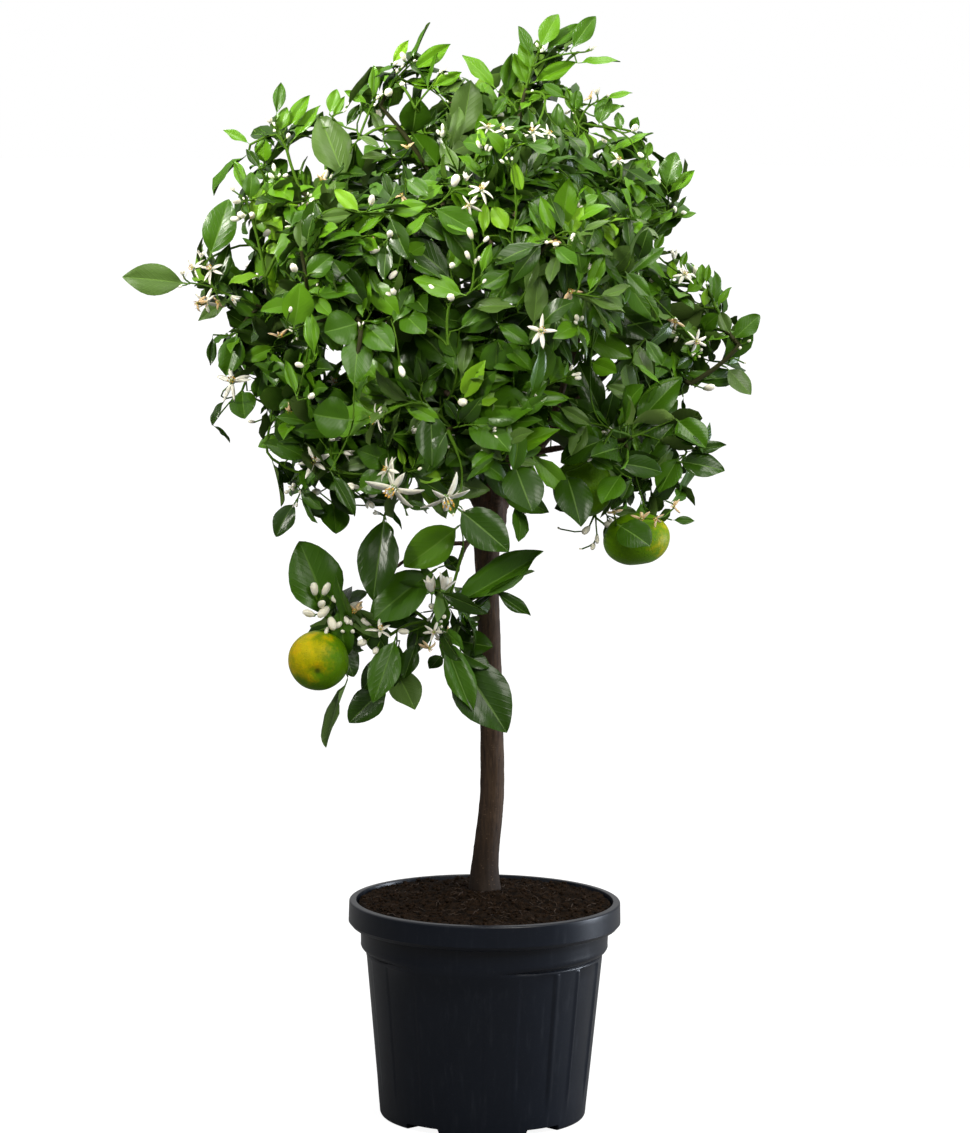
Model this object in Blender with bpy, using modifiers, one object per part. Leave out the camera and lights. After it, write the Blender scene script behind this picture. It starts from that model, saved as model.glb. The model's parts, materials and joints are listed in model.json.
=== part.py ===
"""Citrus grown as a standard: a clear trunk, a round crown and one hanging spray, in a nursery pot.

Metres, +Z up, -Y is the front. The origin is on the ground, under the axis of the pot.
Every limb, every mass of foliage, the pot and its soil is one closed solid.
"""
import math

import bmesh
import bpy
from mathutils import Vector, noise
from mathutils.bvhtree import BVHTree

# ---- Fits -------------------------------------------------------------------------------
SEAT_GAP = 0.0003            # between two solids that touch
MASS_GAP = 0.004             # open slot between neighbouring masses
WELD = 0.000001

# ---- Pot --------------------------------------------------------------------------------
POT_HEIGHT = 0.176
POT_STEPS = 28
RIM_RADIUS = 0.1094          # outside of the turned-down band
RIM_FLARE = 0.0004
RIM_BAND = 0.0205            # height of the band
BAND_CHAMFER = 0.0030        # slope under the band
RIM_LIP = 0.0062             # width of the flat top ring
RIM_ROUND = 0.0008
WALL = 0.0020
COLLAR_RADIUS = 0.1012       # collar that shows under the band
COLLAR_FOOT = 0.1270         # height where the collar has run into the wall
SHOULDER_RADIUS = 0.0957
BASE_RADIUS = 0.0830
BASE_ROUND = 0.0022
FLOOR_RAISE = 0.0050         # ring channel under the floor
FLOOR_TOP = 0.0070
FOOT_INNER = 0.0660          # inside of the foot ring
HUB_RADIUS = 0.0280          # centre of the floor, which stands on the ground
NOTCHES = 5                  # drain notches through the foot ring
NOTCH_ARC = math.radians(22.0)
NOTCH_HEIGHT = 0.0046
FIRST_NOTCH = math.radians(-90.0 + 36.0)
DRAIN_RADIUS = 0.0055
DRAIN_CIRCLE = 0.0470

# ---- Soil -------------------------------------------------------------------------------
SOIL_EDGE = 0.1685           # height of the soil along the wall
SOIL_CROWN = 0.1792          # height of the mound at the trunk
SOIL_MOUND = 0.060           # how far the mound spreads
SOIL_LUMP = 0.0016
SOIL_RINGS = (0.018, 0.036, 0.054, 0.072, 0.087)

# ---- Trunk ------------------------------------------------------------------------------
TRUNK_SIDES = 14
TRUNK_RING = 0.020           # distance between two rings
TRUNK_FOOT_Y = 0.020
TRUNK_STATIONS = (           # height above the cut, sideways place, radius
    (0.000, -0.0005, 0.0122),
    (0.012, -0.0007, 0.0112),
    (0.036, 0.0012, 0.0108),
    (0.073, 0.0048, 0.0102),
    (0.112, 0.0049, 0.0098),
    (0.176, 0.0026, 0.0096),
    (0.258, -0.0006, 0.0096),
    (0.283, -0.0018, 0.0103),
    (0.299, 0.0000, 0.0136),
    (0.316, 0.0010, 0.0140),
    (0.328, 0.0010, 0.0098),
)
FLARE_REACH = 0.014          # height over which the root flare dies out
FLARE_DEPTH = 0.16           # part of the radius added at a flare root
FLARE_ROOTS = 4
HEAD = 0.310                 # height above the cut at which the limbs leave the graft head

# ---- Crown ------------------------------------------------------------------------------
WELL_RADIUS = 0.052          # open middle of the crown, where the limbs part
WELL_TOP = 0.735
NEAR_AXIS = 0.090            # a mass whose centre is nearer to the axis stands over the well
HANGING = "foliage_hanging"  # masses of the spray that hangs beside the trunk
TRUNK_GUARD_Y = -0.017       # that spray stays in front of this
ROUGHNESS = 0.17             # unevenness of a mass, as a part of its radius
ROUGH_SCALE = 2.1
LOBE_WIDTH = 0.30            # radians: how fast a lobe falls away from its tip
ICO_LEVEL = 3

# name: centre, half sizes, tips that the mass reaches
MASSES = {
    "foliage_top_left": ((-0.066, -0.034, 0.797), (0.068, 0.070, 0.046),
                         ((-0.050, -0.030, 0.876), (-0.037, -0.034, 0.858), (-0.095, -0.036, 0.840),
                          (-0.128, -0.024, 0.822))),
    "foliage_top_right": ((0.052, -0.024, 0.800), (0.062, 0.070, 0.048),
                          ((0.047, -0.030, 0.884), (0.079, -0.030, 0.884), (0.100, -0.030, 0.848),
                           (0.020, -0.034, 0.874), (-0.018, -0.034, 0.852))),
    "foliage_top_front": ((-0.006, -0.108, 0.764), (0.074, 0.060, 0.056), ((0.010, -0.120, 0.822),)),
    "foliage_top_back": ((-0.004, 0.082, 0.784), (0.090, 0.074, 0.052),
                         ((-0.040, 0.085, 0.838), (0.040, 0.080, 0.842))),
    "foliage_upper_left": ((-0.142, -0.020, 0.742), (0.066, 0.085, 0.058),
                           ((-0.172, -0.020, 0.829), (-0.210, -0.020, 0.791), (-0.140, -0.040, 0.806),
                            (-0.224, -0.016, 0.730))),
    "foliage_upper_right": ((0.108, -0.022, 0.742), (0.050, 0.085, 0.054),
                            ((0.159, -0.020, 0.761), (0.156, -0.030, 0.732), (0.131, -0.020, 0.781))),
    "foliage_left": ((-0.170, 0.018, 0.650), (0.060, 0.085, 0.060),
                     ((-0.290, -0.016, 0.681), (-0.231, -0.014, 0.706), (-0.222, 0.010, 0.626))),
    "foliage_right": ((0.144, 0.016, 0.642), (0.058, 0.085, 0.058),
                      ((0.212, 0.000, 0.646), (0.211, 0.004, 0.592), (0.186, -0.020, 0.694))),
    "foliage_front_left": ((-0.092, -0.130, 0.692), (0.082, 0.066, 0.066), ((-0.150, -0.165, 0.710),)),
    "foliage_front_right": ((0.058, -0.134, 0.690), (0.082, 0.066, 0.066), ((0.110, -0.165, 0.716),)),
    "foliage_front_low": ((-0.030, -0.122, 0.588), (0.084, 0.066, 0.060),
                          ((-0.080, -0.110, 0.497), (-0.038, -0.112, 0.495), (0.030, -0.096, 0.498))),
    "foliage_low_left": ((-0.138, -0.062, 0.566), (0.064, 0.070, 0.056),
                         ((-0.215, -0.040, 0.546), (-0.166, -0.060, 0.481), (-0.126, -0.070, 0.486),
                          (-0.206, -0.050, 0.596))),
    "foliage_low_right": ((0.112, -0.064, 0.552), (0.062, 0.066, 0.058),
                          ((0.186, -0.050, 0.546), (0.119, -0.066, 0.457), (0.092, -0.064, 0.468),
                           (0.143, -0.064, 0.474), (0.062, -0.060, 0.492), (0.163, -0.050, 0.492))),
    "foliage_back_left": ((-0.106, 0.128, 0.690), (0.082, 0.072, 0.070), ((-0.140, 0.170, 0.730),)),
    "foliage_back_right": ((0.080, 0.132, 0.688), (0.078, 0.070, 0.070), ((0.114, 0.175, 0.700),)),
    "foliage_back_low": ((-0.012, 0.122, 0.576), (0.100, 0.072, 0.062),
                         ((-0.080, 0.130, 0.520), (0.070, 0.140, 0.530))),
    "foliage_hanging_left": ((-0.112, -0.058, 0.406), (0.046, 0.034, 0.044),
                             ((-0.134, -0.058, 0.466), (-0.155, -0.058, 0.441), (-0.156, -0.060, 0.377),
                              (-0.125, -0.052, 0.309), (-0.108, -0.058, 0.334),
                              (-0.088, -0.058, 0.488))),
    "foliage_hanging_right": ((-0.034, -0.058, 0.404), (0.046, 0.034, 0.046),
                              ((0.043, -0.062, 0.468), (0.034, -0.062, 0.420), (0.011, -0.060, 0.326),
                               (-0.010, -0.058, 0.330), (-0.064, -0.058, 0.342), (-0.050, -0.062, 0.476))),
}

# name: mass it enters, limb that bears it, place on that limb, start angle above level,
#       how far it keeps that angle, radius at its root and at its mass
BOUGHS = {
    "bough_left": ("foliage_left", "trunk", HEAD, 62, 0.120, 0.0048, 0.0028),
    "bough_right": ("foliage_right", "trunk", HEAD, 60, 0.115, 0.0048, 0.0028),
    "bough_front": ("foliage_front_right", "trunk", HEAD, 58, 0.130, 0.0046, 0.0027),
    "bough_back": ("foliage_back_left", "trunk", HEAD, 66, 0.160, 0.0042, 0.0027),
    "bough_leader": ("foliage_top_back", "trunk", HEAD, 88, 0.200, 0.0050, 0.0028),
    "bough_hanging": ("foliage_hanging_right", "trunk", HEAD - 0.014, 8, 0.036, 0.0027, 0.0018),
    "bough_hanging_left": ("foliage_hanging_left", "bough_hanging", 0.36, 4, 0.056, 0.0019, 0.0014),
    "bough_low_left": ("foliage_low_left", "bough_left", 0.26, 14, 0.040, 0.0032, 0.0021),
    "bough_upper_left": ("foliage_upper_left", "bough_left", 0.35, 75, 0.090, 0.0030, 0.0020),
    "bough_low_right": ("foliage_low_right", "bough_right", 0.26, 14, 0.040, 0.0032, 0.0021),
    "bough_upper_right": ("foliage_upper_right", "bough_right", 0.35, 75, 0.090, 0.0030, 0.0020),
    "bough_front_low": ("foliage_front_low", "bough_front", 0.26, 14, 0.040, 0.0031, 0.0021),
    "bough_front_left": ("foliage_front_left", "bough_leader", 0.20, 35, 0.060, 0.0030, 0.0020),
    "bough_back_low": ("foliage_back_low", "bough_back", 0.26, 14, 0.040, 0.0031, 0.0021),
    "bough_back_right": ("foliage_back_right", "bough_leader", 0.22, 35, 0.060, 0.0030, 0.0020),
    "bough_top_left": ("foliage_top_left", "bough_leader", 0.42, 66, 0.060, 0.0030, 0.0020),
    "bough_top_right": ("foliage_top_right", "bough_leader", 0.56, 60, 0.050, 0.0028, 0.0019),
    "bough_top_front": ("foliage_top_front", "bough_leader", 0.34, 60, 0.080, 0.0028, 0.0019),
}
LIMB_OFFSET = 0.0090         # how far off the trunk's axis a level limb starts, inside the head
BOUGH_SEGMENTS = 4
BOUGH_SIDES_LEVEL = 2        # bevel resolution: eight sides
BOUGH_SWEEP = 2400           # steps in which a limb is followed up to its mass

# ---- Colours: red, green, blue, roughness -----------------------------------------------
FINISHES = {
    "pot": (0.012, 0.015, 0.020, 0.38),
    "soil": (0.022, 0.014, 0.009, 0.95),
    "trunk": (0.075, 0.045, 0.030, 0.80),
    "bough": (0.060, 0.048, 0.026, 0.75),
    "foliage": (0.045, 0.130, 0.022, 0.50),
    "hanging": (0.030, 0.100, 0.018, 0.45),
}


# ---- Helpers ----------------------------------------------------------------------------
def clear_scene():
    for obj in list(bpy.data.objects):
        bpy.data.objects.remove(obj, do_unlink=True)


def new_collection(name):
    collection = bpy.data.collections.new(name)
    bpy.context.scene.collection.children.link(collection)
    return collection


def principled(name, finish):
    red, green, blue, roughness = FINISHES[finish]
    material = bpy.data.materials.new(name)
    material.use_nodes = True
    shader = material.node_tree.nodes["Principled BSDF"]
    shader.inputs["Base Color"].default_value = (red, green, blue, 1.0)
    shader.inputs["Roughness"].default_value = roughness
    shader.inputs["Metallic"].default_value = 0.0
    return material


def add_object(name, mesh, collection, finish=None):
    obj = bpy.data.objects.new(name, mesh)
    collection.objects.link(obj)
    if finish:
        mesh.materials.clear()
        mesh.materials.append(principled(name, finish))
    return obj


def as_cutter(obj):
    obj.hide_render = True
    obj.display_type = "WIRE"
    return obj


def mesh_from(bm, name):
    bmesh.ops.recalc_face_normals(bm, faces=bm.faces)
    mesh = bpy.data.meshes.new(name)
    bm.to_mesh(mesh)
    bm.free()
    return mesh


def evaluated_mesh(obj):
    bpy.context.view_layer.update()
    depsgraph = bpy.context.evaluated_depsgraph_get()
    return bpy.data.meshes.new_from_object(obj.evaluated_get(depsgraph))


def subtract(obj, cutter):
    cut = obj.modifiers.new("cut " + cutter.name, "BOOLEAN")
    cut.operation = "DIFFERENCE"
    cut.solver = "EXACT"
    cut.object = cutter


def turned(name, profile, collection, finish):
    """Object turned from (radius, height) points that start and end on the axis."""
    bm = bmesh.new()
    verts = [bm.verts.new((radius, 0.0, height)) for radius, height in profile]
    for first, second in zip(verts, verts[1:]):
        bm.edges.new((first, second))
    mesh = bpy.data.meshes.new(name)
    bm.to_mesh(mesh)
    bm.free()
    obj = add_object(name, mesh, collection, finish)
    screw = obj.modifiers.new("turn", "SCREW")
    screw.steps = POT_STEPS
    screw.render_steps = POT_STEPS
    screw.use_merge_vertices = True
    screw.merge_threshold = WELD
    screw.use_normal_calculate = False
    return obj


def arc(centre_r, centre_z, radius, start, end, count):
    """Points of a round corner in a profile, from start to end in degrees."""
    step = (end - start) / (count - 1)
    angles = [math.radians(start + step * index) for index in range(count)]
    return [(centre_r + radius * math.cos(a), centre_z + radius * math.sin(a)) for a in angles]


def smoothstep(value):
    value = min(max(value, 0.0), 1.0)
    return value * value * (3.0 - 2.0 * value)


# ---- Pot --------------------------------------------------------------------------------
def wall_radius(height):
    """Outside radius of the pot under its band."""
    if height <= COLLAR_FOOT:
        return BASE_RADIUS + (SHOULDER_RADIUS - BASE_RADIUS) * height / COLLAR_FOOT
    rise = (height - COLLAR_FOOT) / (POT_HEIGHT - RIM_BAND - COLLAR_FOOT)
    return SHOULDER_RADIUS + (COLLAR_RADIUS - SHOULDER_RADIUS) * math.sin(min(rise, 1.0) * math.pi / 2)


def inner_wall():
    """Inside of the wall, from the floor up to the lip."""
    heights = [FLOOR_TOP, COLLAR_FOOT, COLLAR_FOOT + 0.012, POT_HEIGHT - RIM_BAND]
    points = [(wall_radius(height) - WALL, height) for height in heights]
    return points + [(RIM_RADIUS - RIM_LIP - RIM_ROUND, POT_HEIGHT - RIM_ROUND)]


def pot_profile():
    band_foot = POT_HEIGHT - RIM_BAND
    collar_top = band_foot + 0.004
    hidden_wall = RIM_RADIUS - RIM_LIP - RIM_ROUND + WALL
    lip = [(RIM_RADIUS - RIM_LIP, POT_HEIGHT)]
    lip += arc(RIM_RADIUS - RIM_ROUND, POT_HEIGHT - RIM_ROUND, RIM_ROUND, 90, 0, 2)
    band = [(RIM_RADIUS + RIM_FLARE, band_foot + BAND_CHAMFER),
            (RIM_RADIUS + RIM_FLARE - BAND_CHAMFER, band_foot),
            (RIM_RADIUS - WALL - BAND_CHAMFER / 2, band_foot + BAND_CHAMFER / 2),
            (RIM_RADIUS - WALL, POT_HEIGHT - WALL),
            (hidden_wall, POT_HEIGHT - WALL),
            (COLLAR_RADIUS, collar_top)]
    collar_rise = POT_HEIGHT - RIM_BAND - COLLAR_FOOT
    collar = [(wall_radius(COLLAR_FOOT + collar_rise * part), COLLAR_FOOT + collar_rise * part)
              for part in (0.62, 0.34, 0.14, 0.0)]
    base = arc(BASE_RADIUS - BASE_ROUND, BASE_ROUND, BASE_ROUND, 0, -90, 3)
    underside = [(FOOT_INNER, 0.0),
                 (FOOT_INNER - 0.002, FLOOR_RAISE),
                 (HUB_RADIUS + 0.002, FLOOR_RAISE),
                 (HUB_RADIUS, 0.0),
                 (0.0, 0.0)]
    return [(0.0, FLOOR_TOP)] + inner_wall() + lip + band + collar + base + underside


def notch_cutter(index, cutters):
    """Wedge under the foot ring, open to the outside."""
    middle = FIRST_NOTCH + index * math.tau / NOTCHES
    inner, outer = FOOT_INNER - 0.006, BASE_RADIUS + 0.010
    bm = bmesh.new()
    corners = []
    for radius, side in ((inner, -1), (outer, -1), (outer, 1), (inner, 1)):
        angle = middle + side * NOTCH_ARC / 2
        corners.append(bm.verts.new((radius * math.cos(angle), radius * math.sin(angle), -0.010)))
    face = bm.faces.new(corners)
    lifted = bmesh.ops.extrude_face_region(bm, geom=[face])["geom"]
    rise = Vector((0.0, 0.0, NOTCH_HEIGHT + 0.010))
    bmesh.ops.translate(bm, vec=rise, verts=[item for item in lifted if isinstance(item, bmesh.types.BMVert)])
    return as_cutter(add_object("notch_cutter_%d" % index, mesh_from(bm, "notch"), cutters))


def drain_cutter(index, cutters):
    angle = FIRST_NOTCH + index * math.tau / NOTCHES
    bm = bmesh.new()
    bmesh.ops.create_cone(bm, cap_ends=True, segments=12, radius1=DRAIN_RADIUS, radius2=DRAIN_RADIUS,
                          depth=FLOOR_TOP * 2)
    obj = as_cutter(add_object("drain_cutter_%d" % index, mesh_from(bm, "drain"), cutters))
    obj.location = (DRAIN_CIRCLE * math.cos(angle), DRAIN_CIRCLE * math.sin(angle), FLOOR_TOP / 2)
    return obj


def make_pot(parts, cutters):
    pot = turned("pot", pot_profile(), parts, "pot")
    for index in range(NOTCHES):
        subtract(pot, notch_cutter(index, cutters))
        subtract(pot, drain_cutter(index, cutters))
    return pot


# ---- Soil -------------------------------------------------------------------------------
def soil_height(x, y):
    """Top of the soil: a low mound round the trunk, with lumps, and never above its crown."""
    away = math.hypot(x - TRUNK_STATIONS[0][1], y - TRUNK_FOOT_Y)
    mound = math.exp(-(max(away - 0.016, 0.0) / SOIL_MOUND) ** 2)
    edge = smoothstep(math.hypot(x, y) / COLLAR_RADIUS)
    lump = SOIL_LUMP * noise.noise(Vector((x, y, 0.4)) * 60.0) * (1.0 - mound)
    height = SOIL_EDGE + (SOIL_CROWN - SOIL_EDGE) * mound * (1.0 - 0.75 * edge) + lump
    if away < 0.022:
        height = SOIL_CROWN
    return min(height, SOIL_CROWN)


def make_soil(parts):
    """Root ball that fills the pot, built as a turned shape whose top is then raised."""
    edge_radius = COLLAR_RADIUS - WALL - SEAT_GAP
    outer = [(radius - SEAT_GAP, height) for radius, height in inner_wall()[:-1]]
    outer[0] = (outer[0][0], FLOOR_TOP + SEAT_GAP)
    outer.append((edge_radius, SOIL_EDGE))
    top = [(0.0, SOIL_EDGE)] + [(radius, SOIL_EDGE) for radius in SOIL_RINGS]
    profile = top + list(reversed(outer)) + [(0.0, FLOOR_TOP + SEAT_GAP)]
    turned_soil = turned("soil_turned", profile, parts, None)
    mesh = evaluated_mesh(turned_soil)
    bpy.data.objects.remove(turned_soil, do_unlink=True)
    for vert in mesh.vertices:
        inside = math.hypot(vert.co.x, vert.co.y) < edge_radius - 0.001
        if inside and vert.co.z > SOIL_EDGE - 0.001:
            vert.co.z = soil_height(vert.co.x, vert.co.y)
    mesh.name = "soil"
    return add_object("soil", mesh, parts, "soil")


# ---- Trunk ------------------------------------------------------------------------------
def trunk_at(rise):
    """Centre and radius of the trunk at a height above its cut, on a smooth curve."""
    rows = TRUNK_STATIONS
    last = len(rows) - 1
    index = max(i for i in range(last) if rows[i][0] <= rise or i == 0)
    span = rows[index + 1][0] - rows[index][0]
    part = min(max((rise - rows[index][0]) / span, 0.0), 1.0)
    before, after = rows[max(index - 1, 0)], rows[min(index + 2, last)]

    def blend(column):
        p0, p1, p2, p3 = before[column], rows[index][column], rows[index + 1][column], after[column]
        return 0.5 * (2 * p1 + (p2 - p0) * part + (2 * p0 - 5 * p1 + 4 * p2 - p3) * part ** 2
                      + (3 * p1 - p0 - 3 * p2 + p3) * part ** 3)

    lean = 1.0 - smoothstep(rise / HEAD)
    centre = Vector((blend(1), TRUNK_FOOT_Y * lean, SOIL_CROWN + SEAT_GAP + rise))
    return centre, blend(2)


def trunk_mesh(name, grow=0.0):
    """Loft of level rings, with roots flaring at the foot."""
    top = TRUNK_STATIONS[-1][0]
    count = round(top / TRUNK_RING)
    bm = bmesh.new()
    rings = []
    for step in range(count + 1):
        rise = top * step / count
        centre, radius = trunk_at(rise)
        flare = FLARE_DEPTH * math.exp(-rise / FLARE_REACH)
        ring = []
        for side in range(TRUNK_SIDES):
            angle = math.tau * side / TRUNK_SIDES
            swell = 1.0 + flare * (0.5 + 0.5 * math.cos(FLARE_ROOTS * angle + 0.7))
            swell += 0.03 * noise.noise(Vector((math.cos(angle), math.sin(angle), rise * 25.0)))
            reach = radius * swell + grow
            ring.append(bm.verts.new(centre + Vector((math.cos(angle), math.sin(angle), 0.0)) * reach))
        rings.append(ring)
    for lower, upper in zip(rings, rings[1:]):
        for side in range(TRUNK_SIDES):
            beside = (side + 1) % TRUNK_SIDES
            bm.faces.new((lower[side], lower[beside], upper[beside], upper[side]))
    bm.faces.new(list(reversed(rings[0])))
    crown = bm.verts.new(trunk_at(top)[0] + Vector((0.0, 0.0, 0.004 + grow)))
    for side in range(TRUNK_SIDES):
        bm.faces.new((rings[-1][side], rings[-1][(side + 1) % TRUNK_SIDES], crown))
    return mesh_from(bm, name)


def make_trunk(parts):
    return add_object("trunk", trunk_mesh("trunk"), parts, "trunk")


# ---- Masses of foliage ------------------------------------------------------------------
def cell_planes(name):
    """Planes (point, outward direction) that keep a mass off its neighbours and the open well."""
    centre, halves, _ = MASSES[name]
    centre = Vector(centre)
    size = sum(halves)
    planes = []
    for other, (other_centre, other_halves, _) in MASSES.items():
        if other == name:
            continue
        across = Vector(other_centre) - centre
        share = size / (size + sum(other_halves))
        normal = across.normalized()
        planes.append((centre + across * share - normal * MASS_GAP / 2, normal))
    outward = Vector((centre.x, centre.y, 0.0))
    if name.startswith(HANGING):
        planes.append((Vector((0.0, TRUNK_GUARD_Y, 0.0)), Vector((0.0, 1.0, 0.0))))
    elif outward.length < NEAR_AXIS:
        planes.append((Vector((0.0, 0.0, WELL_TOP)), Vector((0.0, 0.0, -1.0))))
    else:
        inward = -outward.normalized()
        planes.append((-inward * WELL_RADIUS, inward))
    return planes


def mass_reach(direction, centre, halves, tips, planes, seed):
    """Distance from the centre of a mass to its surface along one direction."""
    base = 1.0 / math.sqrt(sum((part / half) ** 2 for part, half in zip(direction, halves)))
    lumps = noise.noise(direction * ROUGH_SCALE + Vector((seed, 3.1 * seed, 7.7)))
    reach = base * (1.0 + ROUGHNESS * 1.6 * lumps)
    for tip in tips:
        spoke = Vector(tip) - centre
        angle = direction.angle(spoke)
        reach = max(reach, base + (spoke.length - base) * math.exp(-(angle / LOBE_WIDTH) ** 2))
    for point, normal in planes:
        facing = direction.dot(normal)
        if facing > 0.0:
            reach = min(reach, (point - centre).dot(normal) / facing)
    return reach


def mass_mesh(name, seed):
    centre, halves, tips = MASSES[name]
    centre = Vector(centre)
    planes = cell_planes(name)
    bm = bmesh.new()
    bmesh.ops.create_icosphere(bm, subdivisions=ICO_LEVEL, radius=1.0)
    directions = {vert: vert.co.normalized() for vert in bm.verts}
    for tip in tips:                       # turn the vertex nearest to each tip towards it
        spoke = (Vector(tip) - centre).normalized()
        nearest = max(directions, key=lambda vert: directions[vert].dot(spoke))
        directions[nearest] = spoke
    for vert, direction in directions.items():
        vert.co = centre + direction * mass_reach(direction, centre, halves, tips, planes, seed)
    return mesh_from(bm, name)


def make_masses(parts):
    for seed, name in enumerate(MASSES, start=1):
        finish = "hanging" if name.startswith(HANGING) else "foliage"
        add_object(name, mass_mesh(name, seed), parts, finish)


# ---- Boughs -----------------------------------------------------------------------------
class Limb:
    """One tapering limb on a curve of three points, from its bearer up to its mass."""

    def __init__(self, name, limbs):
        mass, bearer, place, angle, keep, self.root, self.tip = BOUGHS[name]
        target = Vector(MASSES[mass][0])
        if bearer == "trunk":
            start = trunk_at(place)[0]
        else:
            start = limbs[bearer].point(place)
        level = Vector((target.x - start.x, target.y - start.y, 0.0)).normalized()
        slope = math.radians(angle)
        if bearer == "trunk":
            start = start + level * (LIMB_OFFSET * math.cos(slope))
        lead = level * math.cos(slope) + Vector((0.0, 0.0, math.sin(slope)))
        self.name, self.mass, self.bearer = name, mass, bearer
        self.controls = (start, start + lead * keep, target)
        self.end = 1.0

    def point(self, part):
        start, bend, target = self.controls
        return start.lerp(bend, part).lerp(bend.lerp(target, part), part)

    def heading(self, part):
        start, bend, target = self.controls
        return (bend - start).lerp(target - bend, part).normalized()

    def radius(self, part):
        return self.root + (self.tip - self.root) * min(part / self.end, 1.0)

    def rim(self, part):
        """Centre and edge points of the flat end that the limb would have here."""
        centre, heading = self.point(part), self.heading(part)
        side = heading.orthogonal().normalized()
        other = heading.cross(side)
        for step in range(8):
            angle = math.tau * step / 8
            yield centre + (side * math.cos(angle) + other * math.sin(angle)) * self.radius(part)
        yield centre

    def stop_at(self, surface):
        """Shorten the limb so that its end just clears the surface of its mass."""
        clearance = SEAT_GAP + 0.0001
        for step in range(BOUGH_SWEEP // 6, BOUGH_SWEEP):
            part = step / BOUGH_SWEEP
            if min(surface.find_nearest(point)[3] for point in self.rim(part)) < clearance:
                self.end = part
                return
        raise RuntimeError(self.name + " does not reach its mass")

    def tube(self, name, collection, grow=0.0):
        """The limb as a closed mesh object, fatter by grow."""
        curve = bpy.data.curves.new(name, "CURVE")
        curve.dimensions = "3D"
        curve.bevel_depth = 1.0
        curve.bevel_resolution = BOUGH_SIDES_LEVEL
        curve.use_fill_caps = True
        spline = curve.splines.new("POLY")
        spline.points.add(BOUGH_SEGMENTS)
        for index, knot in enumerate(spline.points):
            part = self.end * index / BOUGH_SEGMENTS
            knot.co = (*self.point(part), 1.0)
            knot.radius = self.radius(part) + grow
        guide = add_object(name + "_curve", curve, collection)
        mesh = evaluated_mesh(guide)
        bpy.data.objects.remove(guide, do_unlink=True)
        bm = bmesh.new()
        bm.from_mesh(mesh)
        bmesh.ops.remove_doubles(bm, verts=bm.verts, dist=WELD)
        bmesh.ops.recalc_face_normals(bm, faces=bm.faces)
        bm.to_mesh(mesh)
        bm.free()
        mesh.name = name
        return add_object(name, mesh, collection)


def make_boughs(parts, cutters):
    limbs = {}
    borne = {"trunk": as_cutter(add_object("trunk_cutter", trunk_mesh("trunk_cutter", SEAT_GAP), cutters))}
    for name in BOUGHS:
        limb = Limb(name, limbs)
        mass = bpy.data.objects[limb.mass]
        limb.stop_at(BVHTree.FromObject(mass, bpy.context.evaluated_depsgraph_get()))
        limbs[name] = limb
        if any(row[1] == name for row in BOUGHS.values()):
            borne[name] = as_cutter(limb.tube(name + "_cutter", cutters, SEAT_GAP))
        bough = limb.tube(name, parts)
        bough.data.materials.append(principled(name, "bough"))
        subtract(bough, borne[limb.bearer])


def shade(parts):
    bpy.context.view_layer.update()
    for obj in parts.objects:
        obj.data.shade_smooth()
        if obj.name in ("pot", "soil", "trunk"):
            obj.data.set_sharp_from_angle(angle=math.radians(35.0))


def main():
    clear_scene()
    parts = new_collection("citrus_standard")
    cutters = new_collection("cutters")
    make_pot(parts, cutters)
    make_soil(parts)
    make_trunk(parts)
    make_masses(parts)
    make_boughs(parts, cutters)
    shade(parts)


main()
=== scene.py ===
"""Potted citrus grown as a standard: the finish of the pot, soil, bark, twigs, leaves, blossom and fruit.

Metres, +Z up, -Y is the front. The solids of the frame give every limb and the room of every
mass of foliage. Twigs grow on from the free end of each bough by a seeded rule, and the leaves,
blossom and fruit sit on the twigs.
"""
import functools
import json
import random
from math import acos, atan2, cos, exp, hypot, inf, log, pi, radians, sin, sqrt, tau

import bmesh
import bpy
import numpy as np
from mathutils import Matrix, Vector, noise
from mathutils.bvhtree import BVHTree

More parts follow.
